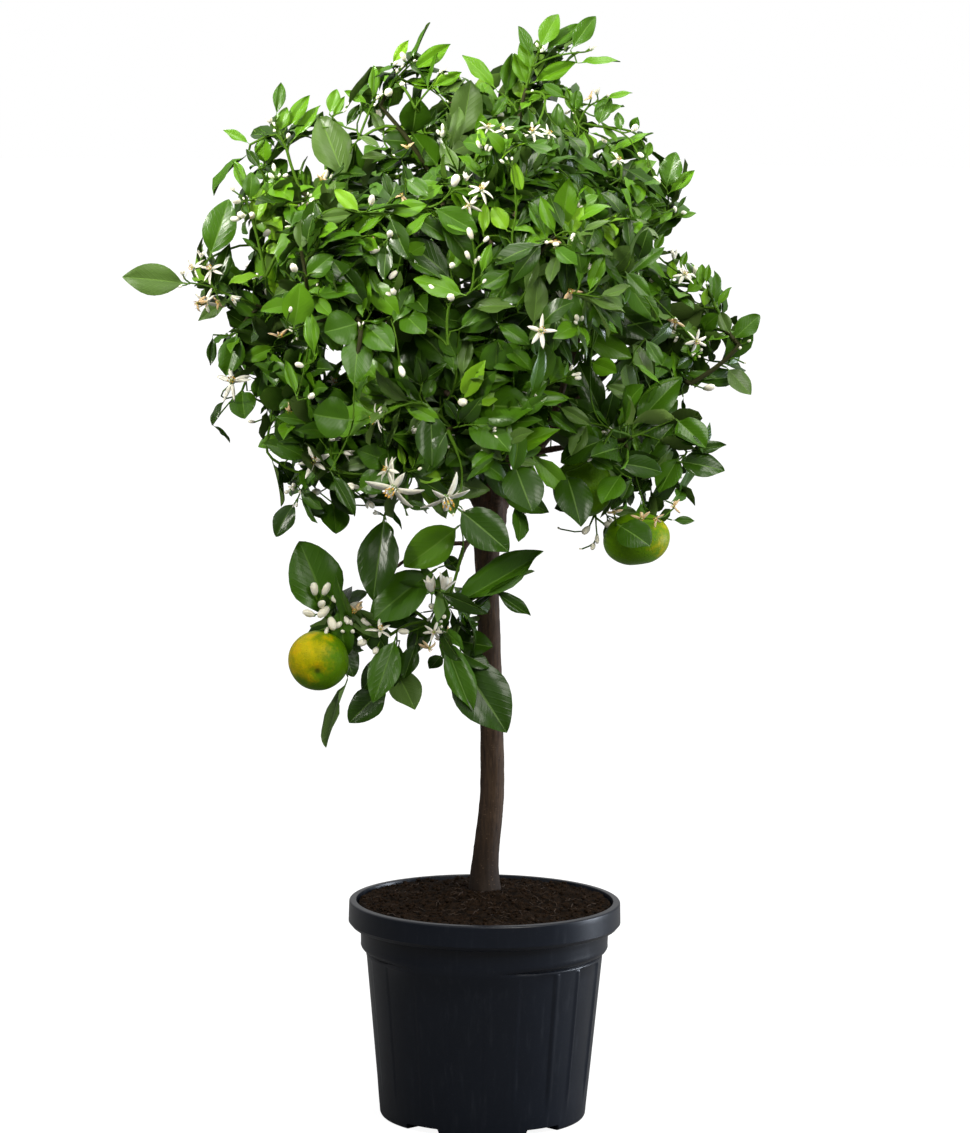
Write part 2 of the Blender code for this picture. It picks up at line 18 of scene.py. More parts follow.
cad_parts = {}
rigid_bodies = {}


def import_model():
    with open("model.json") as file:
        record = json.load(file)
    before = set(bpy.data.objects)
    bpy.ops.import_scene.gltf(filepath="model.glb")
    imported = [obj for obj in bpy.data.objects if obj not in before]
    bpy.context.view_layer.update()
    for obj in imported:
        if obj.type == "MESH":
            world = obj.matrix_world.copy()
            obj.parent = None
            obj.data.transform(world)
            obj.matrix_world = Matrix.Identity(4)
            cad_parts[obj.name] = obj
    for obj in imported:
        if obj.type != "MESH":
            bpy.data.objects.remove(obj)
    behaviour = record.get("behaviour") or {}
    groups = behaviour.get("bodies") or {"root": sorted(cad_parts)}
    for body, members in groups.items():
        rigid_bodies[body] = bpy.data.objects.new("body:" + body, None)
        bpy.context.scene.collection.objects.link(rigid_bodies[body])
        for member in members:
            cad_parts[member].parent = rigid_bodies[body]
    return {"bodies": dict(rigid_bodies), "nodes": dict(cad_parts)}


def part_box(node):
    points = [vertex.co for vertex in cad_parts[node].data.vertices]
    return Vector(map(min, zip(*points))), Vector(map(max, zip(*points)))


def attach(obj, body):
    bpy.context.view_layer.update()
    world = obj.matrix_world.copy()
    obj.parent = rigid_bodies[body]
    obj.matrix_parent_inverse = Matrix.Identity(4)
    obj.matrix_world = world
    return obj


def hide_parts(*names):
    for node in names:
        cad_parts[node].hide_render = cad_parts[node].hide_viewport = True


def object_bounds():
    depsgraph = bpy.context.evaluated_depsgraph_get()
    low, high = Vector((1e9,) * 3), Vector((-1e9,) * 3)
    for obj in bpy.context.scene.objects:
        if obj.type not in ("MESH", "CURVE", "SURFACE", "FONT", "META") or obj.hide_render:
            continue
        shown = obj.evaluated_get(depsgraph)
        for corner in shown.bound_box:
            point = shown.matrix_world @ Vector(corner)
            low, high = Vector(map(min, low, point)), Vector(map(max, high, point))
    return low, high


bl_info = {
    "name": "Potted Citrus Standard",
    "version": (1, 0, 0),
    "blender": (4, 5, 0),
    "location": "View3D > Sidebar > Citrus",
    "description": "Finishes a citrus standard in its nursery pot, piece by piece",
    "category": "Add Mesh",
}

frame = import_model()
CAD_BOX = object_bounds()
BODY = next(iter(frame["bodies"]))

# ---- Camera ----
FRAME_WIDTH, FRAME_HEIGHT = 970, 1133  # pixels of the camera's frame
CAMERA_PLACE = Vector((-0.0026, -3.4, 0.855))
CAMERA_PITCH = radians(6.85)  # looking down
CAMERA_ROLL = radians(0.6)
FOCAL_PIXELS = 4282.0
SENSOR = 36.0

# ---- Pot and soil, from their own solids ----
POT_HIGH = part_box("pot")[1]
TRUNK_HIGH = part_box("trunk")[1]
RIM_RADIUS = POT_HIGH.x
POT_HEIGHT = POT_HIGH.z
RIM_BAND = 0.0205  # height of the turned-down band
BAND_CHAMFER = 0.003
RIM_LIP = 0.0062  # width of the flat top ring
WALL = 0.002
COLLAR_RADIUS = 0.1
COLLAR_ROUND = 0.008  # height of the collar's rounded foot
SHOULDER = 0.133  # height where the tapered wall starts
SHOULDER_RADIUS = 0.0955
SHOULDER_BEVEL = 0.0022
BASE_RADIUS = 0.083
BASE_ROUND = 0.0022
FLOOR_RAISE = 0.005
FLOOR_TOP = 0.007
FOOT_INNER = 0.066
HUB_RADIUS = 0.028
NOTCHES = 5
NOTCH_ARC = radians(22.0)
NOTCH_HEIGHT = 0.0046
FIRST_NOTCH = radians(-54.0)
DRAIN_RADIUS = 0.0055
DRAIN_CIRCLE = 0.047  # radius of the ring of drain holes
POT_STEPS = 480  # round the pot
FLUTES = 10  # shallow upright panels in the wall
FLUTE_FIRST = radians(-90.0 + 63.0)  # middle of one of them
FLUTE_ARC = radians(19.2)
FLUTE_TOP = 0.1318
FLUTE_FADE = 0.03  # height where a panel has run out
BEAD_SIDE = radians(-90.0 + 57.0)  # side where the panels' edges stand out most
SHOULDER_EASE = 0.02  # how far the shoulder runs out where it is flush
FLUSH_MIDDLE = radians(-90.0 - 15.0)  # the shoulder is flush with the collar about here
FLUSH_ARC = radians(38.0)
FLUSH_FADE = radians(25.0)
SEAT_GAP = 0.0003

# ---- Crown ----
CROWN_MIDDLE = Vector((-0.01, 0.0, 0.655))
HANGING = "foliage_hanging"
MASSES = sorted(name for name in frame["nodes"] if name.startswith("foliage_"))
BOUGHS = sorted(name for name in frame["nodes"] if name.startswith("bough_"))


# ======== Node trees ========
class Signal:
    """A node's output in shader or geometry maths. Its operators add Math nodes."""

    def __init__(self, graph, socket):
        self.graph, self.socket = graph, socket

    def __add__(self, other):
        return self.graph.maths("ADD", self, other)

    def __sub__(self, other):
        return self.graph.maths("SUBTRACT", self, other)

    def __rsub__(self, other):
        return self.graph.maths("SUBTRACT", other, self)

    def __mul__(self, other):
        return self.graph.maths("MULTIPLY", self, other)

    __radd__, __rmul__ = __add__, __mul__

    def most(self, other):
        return self.graph.maths("MAXIMUM", self, other)

    def over(self, low, high):
        """0 below low, 1 above high, smooth in between."""
        settings = {"interpolation_type": "SMOOTHSTEP"}
        return self.graph.add("ShaderNodeMapRange", settings, {0: self, 1: low, 2: high})


def socket_of(sockets, key):
    """Socket of a number, an identifier or a name."""
    if isinstance(key, int):
        return sockets[key]
    return next((socket for socket in sockets if socket.identifier == key), None) or sockets[key]


class Graph:
    """Adds linked nodes to a node tree."""

    def __init__(self, tree):
        self.tree = tree

    def add(self, kind, settings=None, inputs=None, output=0):
        """Signal of one output of a new node. Settings are set first, then values and links."""
        node = self.tree.nodes.new(kind)
        for key, value in (settings or {}).items():
            setattr(node, key, value)
        for key, value in (inputs or {}).items():
            self.feed(socket_of(node.inputs, key), value)
        return Signal(self, socket_of(node.outputs, output))

    def feed(self, socket, value):
        if isinstance(value, Signal):
            self.tree.links.new(value.socket, socket)
        elif socket.type == "RGBA":
            socket.default_value = (*value[:3], 1.0)
        else:
            socket.default_value = value

    def maths(self, operation, *values):
        return self.add("ShaderNodeMath", {"operation": operation}, dict(enumerate(values)))

    def vector(self, operation, inputs, output=0):
        return self.add("ShaderNodeVectorMath", {"operation": operation}, inputs, output)

    def axis(self, place, name):
        return self.add("ShaderNodeSeparateXYZ", None, {"Vector": place}, name)

    def mix(self, share, first, second):
        """Colour between two colours."""
        inputs = {"Factor_Float": share, "A_Color": first, "B_Color": second}
        return self.add("ShaderNodeMix", {"data_type": "RGBA"}, inputs, "Result_Color")

    def noise_at(self, place, scale, detail=2.0, rough=0.5):
        """Noise with one scale or one for each axis."""
        if isinstance(scale, tuple):
            place, scale = self.vector("MULTIPLY", {0: place, 1: scale}), 1.0
        inputs = {"Vector": place, "Scale": scale, "Detail": detail, "Roughness": rough}
        return self.add("ShaderNodeTexNoise", None, inputs, "Fac")


class Paint(Graph):
    """A material with one Principled shader."""

    def __init__(self, name):
        self.material = bpy.data.materials.new(name)
        self.material.use_nodes = True
        super().__init__(self.material.node_tree)
        self.shader = self.tree.nodes["Principled BSDF"]
        self.place = self.add("ShaderNodeTexCoord", None, None, "Object")

    def noise(self, *looks):
        return self.noise_at(self.place, *looks)

    def bump(self, height, strength, distance):
        inputs = {"Height": height, "Strength": strength, "Distance": distance}
        return self.add("ShaderNodeBump", None, inputs)

    def finish(self, **sockets):
        for key, value in sockets.items():
            self.feed(self.shader.inputs[key.replace("_", " ")], value)
        return self.material


def grained_paint(name, colour, shades, scales, relief, **sockets):
    """Paint that drifts between two shades of a colour, with a fine grain."""
    paint = Paint(name)
    tint = paint.mix(paint.noise(scales[0]), scaled(colour, shades[0]), scaled(colour, shades[1]))
    return paint.finish(Base_Color=tint, Normal=paint.bump(paint.noise(scales[1]), *relief), **sockets)


def linear(red, green, blue):
    """Linear colour of a display colour given from 0 to 255."""
    def curve(part):
        part /= 255.0
        return part / 12.92 if part <= 0.04045 else ((part + 0.055) / 1.055) ** 2.4
    return (curve(red), curve(green), curve(blue))


def any_way(rng):
    """Unit vector in a chance direction."""
    return Vector((rng.gauss(0, 1), rng.gauss(0, 1), rng.gauss(0, 1))).normalized()


def scaled(colour, factor):
    return tuple(part * factor for part in colour[:3])


# ======== Mesh helpers ========
def add_object(name, data):
    obj = bpy.data.objects.new(name, data)
    bpy.context.scene.collection.objects.link(obj)
    return obj


def drop(obj):
    bpy.data.objects.remove(obj, do_unlink=True)


def mesh_object(name, verts, faces):
    mesh = bpy.data.meshes.new(name)
    mesh.from_pydata(verts, [], faces)
    mesh.validate()
    mesh.shade_smooth()
    return add_object(name, mesh)


def plain_mesh(obj, name):
    """The evaluated shape of an object as a plain mesh object at the origin. The source goes."""
    bpy.context.view_layer.update()
    depsgraph = bpy.context.evaluated_depsgraph_get()
    mesh = bpy.data.meshes.new_from_object(obj.evaluated_get(depsgraph))
    mesh.transform(obj.matrix_world)
    drop(obj)
    mesh.name = name
    if not mesh.polygons:
        raise RuntimeError(name + " came out empty")
    return add_object(name, mesh)


def merged_copy(node):
    """bmesh of a CAD node with its loose triangles welded."""
    bm = bmesh.new()
    bm.from_mesh(frame["nodes"][node].data)
    bmesh.ops.remove_doubles(bm, verts=bm.verts, dist=0.000002)
    return bm


def object_of(bm, name):
    """Object of a bmesh, which is given up."""
    mesh = bpy.data.meshes.new(name)
    bm.to_mesh(mesh)
    bm.free()
    return add_object(name, mesh)


def settle(obj, slot, *nodes):
    """Puts a finished piece on the plant's body and hides the nodes that it stands for. Its slot is not used.
    """
    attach(obj, BODY)
    if nodes:
        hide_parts(*nodes)


def smoothstep(value):
    value = min(max(value, 0.0), 1.0)
    return value * value * (3.0 - 2.0 * value)


def turned(outline, steps, shape=None):
    """Vertices and faces turned from (radius, height) points that start and end on the axis.

    The outline runs up the outside. shape(radius, height, angle) may move a point."""
    verts, rings, faces = [], [], []
    for radius, height in outline:
        if radius <= 0.0:
            rings.append([len(verts)] * steps)
            verts.append((0.0, 0.0, height))
            continue
        rings.append(list(range(len(verts), len(verts) + steps)))
        for step in range(steps):
            angle = tau * step / steps
            r, z = shape(radius, height, angle) if shape else (radius, height)
            verts.append((r * cos(angle), r * sin(angle), z))
    for lower, upper in zip(rings, rings[1:]):
        for step in range(steps):
            beside = (step + 1) % steps
            corners = [lower[step], lower[beside], upper[beside], upper[step]]
            faces.append(list(dict.fromkeys(corners)))
    return verts, faces


def arc(centre_r, centre_z, radius, start, end, count):
    step = (end - start) / (count - 1)
    angles = [radians(start + step * index) for index in range(count)]
    return [(centre_r + radius * cos(a), centre_z + radius * sin(a)) for a in angles]


def run(first, last, count):
    """Points after first up to last, evenly spaced."""
    return [(first[0] + (last[0] - first[0]) * i / count, first[1] + (last[1] - first[1]) * i / count)
            for i in range(1, count + 1)]


# ======== Geometry node trees ========
class Tree(Graph):
    """A geometry node tree with named inputs."""

    def __init__(self, name):
        super().__init__(bpy.data.node_groups.new(name, "GeometryNodeTree"))
        self.face = self.tree.interface
        self.face.new_socket("Geometry", in_out="INPUT", socket_type="NodeSocketGeometry")
        self.face.new_socket("Geometry", in_out="OUTPUT", socket_type="NodeSocketGeometry")
        self.entry = self.tree.nodes.new("NodeGroupInput")

    def input(self, name, kind, default=None):
        socket = self.face.new_socket(name, in_out="INPUT", socket_type="NodeSocket" + kind)
        if default is not None:
            socket.default_value = default
        return Signal(self, self.entry.outputs[name])

    def geometry(self):
        return Signal(self, self.entry.outputs["Geometry"])

    def attribute(self, name, kind):
        return self.add("GeometryNodeInputNamedAttribute", {"data_type": kind}, {"Name": name}, "Attribute")

    def end(self, geometry):
        leave = self.tree.nodes.new("NodeGroupOutput")
        self.tree.links.new(geometry.socket, leave.inputs["Geometry"])
        return self

    def end_in(self, geometry, material):
        """Ends in smooth plain geometry of one material."""
        smooth = self.add("GeometryNodeSetShadeSmooth", None, {"Geometry": geometry})
        real = self.add("GeometryNodeRealizeInstances", None, {"Geometry": smooth})
        return self.end(self.add("GeometryNodeSetMaterial", None, {"Geometry": real, "Material": material}))

    def use_on(self, obj, **values):
        """Adds the tree to an object, with its inputs set by their identifiers."""
        modifier = obj.modifiers.new(self.tree.name, "NODES")
        modifier.node_group = self.tree
        for item in self.face.items_tree:
            if item.item_type == "SOCKET" and item.in_out == "INPUT" and item.name in values:
                modifier[item.identifier] = values[item.name]


def set_parts(tree, geometry, materials):
    """Set Material for each numbered part of the realized shapes."""
    part = tree.attribute("part", "INT")
    for number, material in enumerate(materials):
        chosen = tree.add("FunctionNodeCompare", {"data_type": "INT", "operation": "EQUAL"},
                          {"A_INT": part, "B_INT": number})
        geometry = tree.add("GeometryNodeSetMaterial", None,
                            {"Geometry": geometry, "Selection": chosen, "Material": material})
    return geometry


def scatter_tree(parts):
    """Instances of a collection's shapes on points that hold turn, size and shape."""
    tree = Tree("scatter_%d_parts" % parts)
    shapes = tree.input("Shapes", "Collection")
    materials = [tree.input("Part %d" % number, "Material") for number in range(parts)]
    points = tree.add("GeometryNodeMeshToPoints", None, {"Mesh": tree.geometry()})
    source = tree.add("GeometryNodeCollectionInfo", None,
                      {"Collection": shapes, "Separate Children": True, "Reset Children": True})
    placed = tree.add("GeometryNodeInstanceOnPoints", None,
                      {"Points": points, "Instance": source, "Pick Instance": True,
                       "Instance Index": tree.attribute("shape", "INT"),
                       "Rotation": tree.attribute("turn", "QUATERNION"),
                       "Scale": tree.attribute("size", "FLOAT_VECTOR")})
    real = tree.add("GeometryNodeRealizeInstances", None, {"Geometry": placed})
    return tree.end(set_parts(tree, real, materials))


def tube_tree():
    """Round tubes along the splines of a curve, as thick as each point's radius."""
    tree = Tree("tubes")
    sides = tree.input("Sides", "Int", 6)
    material = tree.input("Material", "Material")
    ring = tree.add("GeometryNodeCurvePrimitiveCircle", None, {"Resolution": sides, "Radius": 1.0})
    radius = tree.add("GeometryNodeInputRadius")
    tubes = tree.add("GeometryNodeCurveToMesh", None,
                     {"Curve": tree.geometry(), "Profile Curve": ring, "Scale": radius, "Fill Caps": True})
    return tree.end_in(tubes, material)


def tubes(name, lines, sides, material):
    """Plain mesh object of round tubes along lines, each a pair of points and radii."""
    curve = bpy.data.curves.new(name, "CURVE")
    curve.dimensions = "3D"
    for points, radii in lines:
        if len(points) > 1:
            spline = curve.splines.new("POLY")
            spline.points.add(len(points) - 1)
            spline.points.foreach_set("co", [part for point in points for part in (*point, 1.0)])
            spline.points.foreach_set("radius", radii)
    source = add_object(name + "_lines", curve)
    tube_tree().use_on(source, Sides=sides, Material=material)
    return plain_mesh(source, name)


class Places:
    """Points for a scatter: where each copy stands, how it is turned, its size and its shape."""

    def __init__(self):
        self.rows = []

    def add(self, point, axes, size, shape):
        """axes are the copy's own x, y and z directions."""
        turn = Matrix(axes).transposed().to_quaternion()
        self.rows.append((tuple(point), turn, size, shape))

    def make(self, name, shapes, materials, start=0, most=None):
        """Plain mesh object of the copies, or of so many from a start."""
        points, turns, sizes, numbers = zip(*self.rows[start:start + (most or len(self.rows))])
        mesh = bpy.data.meshes.new(name + "_places")
        mesh.from_pydata(points, [], [])
        for key, kind, field, values in (("turn", "QUATERNION", "value", np.ravel(turns)),
                                         ("size", "FLOAT_VECTOR", "vector", np.ravel(sizes)),
                                         ("shape", "INT", "value", numbers)):
            mesh.attributes.new(key, kind, "POINT").data.foreach_set(field, values)
        obj = add_object(name + "_places", mesh)
        values = {"Part %d" % number: material for number, material in enumerate(materials)}
        scatter_tree(len(materials)).use_on(obj, Shapes=shapes, **values)
        return plain_mesh(obj, name)


def shape_collection(name, shapes):
    """Hidden collection of a scatter's shapes, numbered because a scatter sorts them by name."""
    collection = bpy.data.collections.new(name)
    for number, obj in enumerate(shapes):
        obj.name = "%s_%02d" % (name, number)
        for home in list(obj.users_collection):
            home.objects.unlink(obj)
        collection.objects.link(obj)
    return collection


def drop_collection(collection):
    for obj in list(collection.objects):
        drop(obj)
    bpy.data.collections.remove(collection)


def scattered(name, shapes, places, materials):
    """Plain mesh object of shapes set out on places. The shapes go."""
    collection = shape_collection(name + "_shapes", shapes)
    made = places.make(name, collection, materials)
    drop_collection(collection)
    return made


def shape_object(name, verts, faces, parts, sharp=()):
    """One shape of a scatter: faces numbered by part, with some edges sharp."""
    obj = mesh_object(name, verts, faces)
    mesh = obj.data
    mesh.attributes.new("part", "INT", "FACE").data.foreach_set("value", parts)
    if sharp:
        wanted = {tuple(sorted(edge)) for edge in sharp}
        flags = [tuple(sorted(edge.vertices)) in wanted for edge in mesh.edges]
        mesh.attributes.new("sharp_edge", "BOOLEAN", "EDGE").data.foreach_set("value", flags)
    return obj


# ======== Settings ========
def size_property(name, description, default):
    return bpy.props.FloatProperty(name=name, description=description, default=default, min=0.0,
                                   precision=4, unit="LENGTH")


def count_property(name, description, default):
    return bpy.props.IntProperty(name=name, description=description, default=default, min=0)


def colour_property(name, description, display):
    return bpy.props.FloatVectorProperty(name=name, description=description, subtype="COLOR", size=3,
                                         min=0.0, max=1.0, default=linear(*display))


class PotLook(bpy.types.PropertyGroup):
    flute_depth: size_property("Panel depth", "How deep the upright panels of the wall lie", 0.0011)
    plastic: colour_property("Plastic", "Colour of the moulded plastic", (8, 14, 25))


class SoilLook(bpy.types.PropertyGroup):
    lump: size_property("Lumps", "Height of the lumps of the soil's top", 0.003)
    crumb: size_property("Crumb", "Size of a common crumb", 0.0022)
    crumbs: count_property("Crumbs", "How many crumbs lie on the soil", 1200)
    fibres: count_property("Fibres", "How many fibres lie on the soil", 120)
    wet: colour_property("Dark soil", "Colour of moist peat", (12, 8, 5))
    dry: colour_property("Light soil", "Colour of dry crumbs and fibres", (46, 33, 22))


class BarkLook(bpy.types.PropertyGroup):
    grain: size_property("Grain", "Edge of the cells of the bark's mesh", 0.00115)
    relief: size_property("Relief", "Height of the bark's ridges", 0.00042)
    brown: colour_property("Bark", "Main colour of the bark", (77, 59, 44))
    dark: colour_property("Dark bark", "Colour in the cracks of the bark", (49, 37, 29))
    head: colour_property("Graft", "Colour of the graft head", (80, 55, 40))


class TwigLook(bpy.types.PropertyGroup):
    tip: size_property("Tip radius", "Radius of a twig's end", 0.00065)
    wood: colour_property("Wood", "Colour of older twigs", (46, 48, 22))
    green: colour_property("Green", "Colour of young shoots", (66, 98, 16))


class LeafLook(bpy.types.PropertyGroup):
    seed: count_property("Seed", "Seed of the branching and the leaves", 7)
    shoots: count_property("Shoots", "Leafy shoots in a middling mass", 42)
    between: count_property("Between", "Leafy shoots between the masses", 120)
    spacing: size_property("Spacing", "Distance between two leaves on a shoot", 0.0078)
    longest: size_property("Longest", "Length of the longest grown leaves", 0.06)
    young: colour_property("Young", "Colour of the youngest leaves", (106, 150, 24))
    fresh: colour_property("Fresh", "Colour of young full-grown leaves", (80, 124, 16))
    mid: colour_property("Mid", "Colour of common leaves", (56, 93, 12))
    dark: colour_property("Dark", "Colour of old leaves", (38, 66, 7))
    # Painted sheen: the grey tone is a paler, duller green that stands in for the grey reflection of the sky
    # on glossy leaves.
    grey: colour_property("Grey", "Colour of dull old leaves", (72, 98, 40))


class BlossomLook(bpy.types.PropertyGroup):
    bud: size_property("Bud", "Length of a full bud", 0.0087)
    white: colour_property("White", "Colour of petals and buds", (246, 241, 222))
    spent: colour_property("Spent", "Colour of faded petals", (206, 172, 124))
    stamen: colour_property("Stamens", "Colour of the stamens' ends", (222, 172, 74))


class FruitLook(bpy.types.PropertyGroup):
    green: colour_property("Green rind", "Colour of unripe rind", (84, 124, 2))
    ripe: colour_property("Ripe rind", "Colour of ripening rind", (216, 194, 2))


class StageLook(bpy.types.PropertyGroup):
    floor: colour_property("Floor", "Colour of the floor", (118, 118, 118))
    key: bpy.props.FloatProperty(name="Key light", description="Power of the main light in watts",
                                 default=32.0, min=0.0)


def look(name):
    return getattr(bpy.context.scene, "citrus_" + name)


# ======== Camera geometry ========
def camera_axes():
    """Right, up and forward directions of the camera."""
    flat = Matrix.Rotation(pi / 2 - CAMERA_PITCH, 3, "X")
    rolled = flat @ Matrix.Rotation(CAMERA_ROLL, 3, "Z")
    return rolled.col[0].copy(), rolled.col[1].copy(), -rolled.col[2]


RIGHT, UP, FORWARD = camera_axes()


def placed(across, down, depth):
    """Point at a depth along Y that the camera sees at a pixel of its frame."""
    ray = (FORWARD + RIGHT * ((across - FRAME_WIDTH / 2) / FOCAL_PIXELS)
           + UP * ((FRAME_HEIGHT / 2 - down) / FOCAL_PIXELS))
    return CAMERA_PLACE + ray * ((depth - CAMERA_PLACE.y) / ray.y)


def pixel(point):
    """Pixel of the camera's frame at which a point is seen."""
    ray = point - CAMERA_PLACE
    far = ray.dot(FORWARD)
    return (FRAME_WIDTH / 2 + FOCAL_PIXELS * ray.dot(RIGHT) / far,
            FRAME_HEIGHT / 2 - FOCAL_PIXELS * ray.dot(UP) / far)


PIXEL_SIZE = -CAMERA_PLACE.y / FOCAL_PIXELS  # metres, at the trunk


# ======== Sprays that stand out of the crown ========
# The grey tone is painted sheen, for leaves that show a grey reflection of the sky.
TONES = YOUNG, FRESH, MID, DARK, SHEEN_GREY = ("young", "fresh", "mid", "dark", "grey")
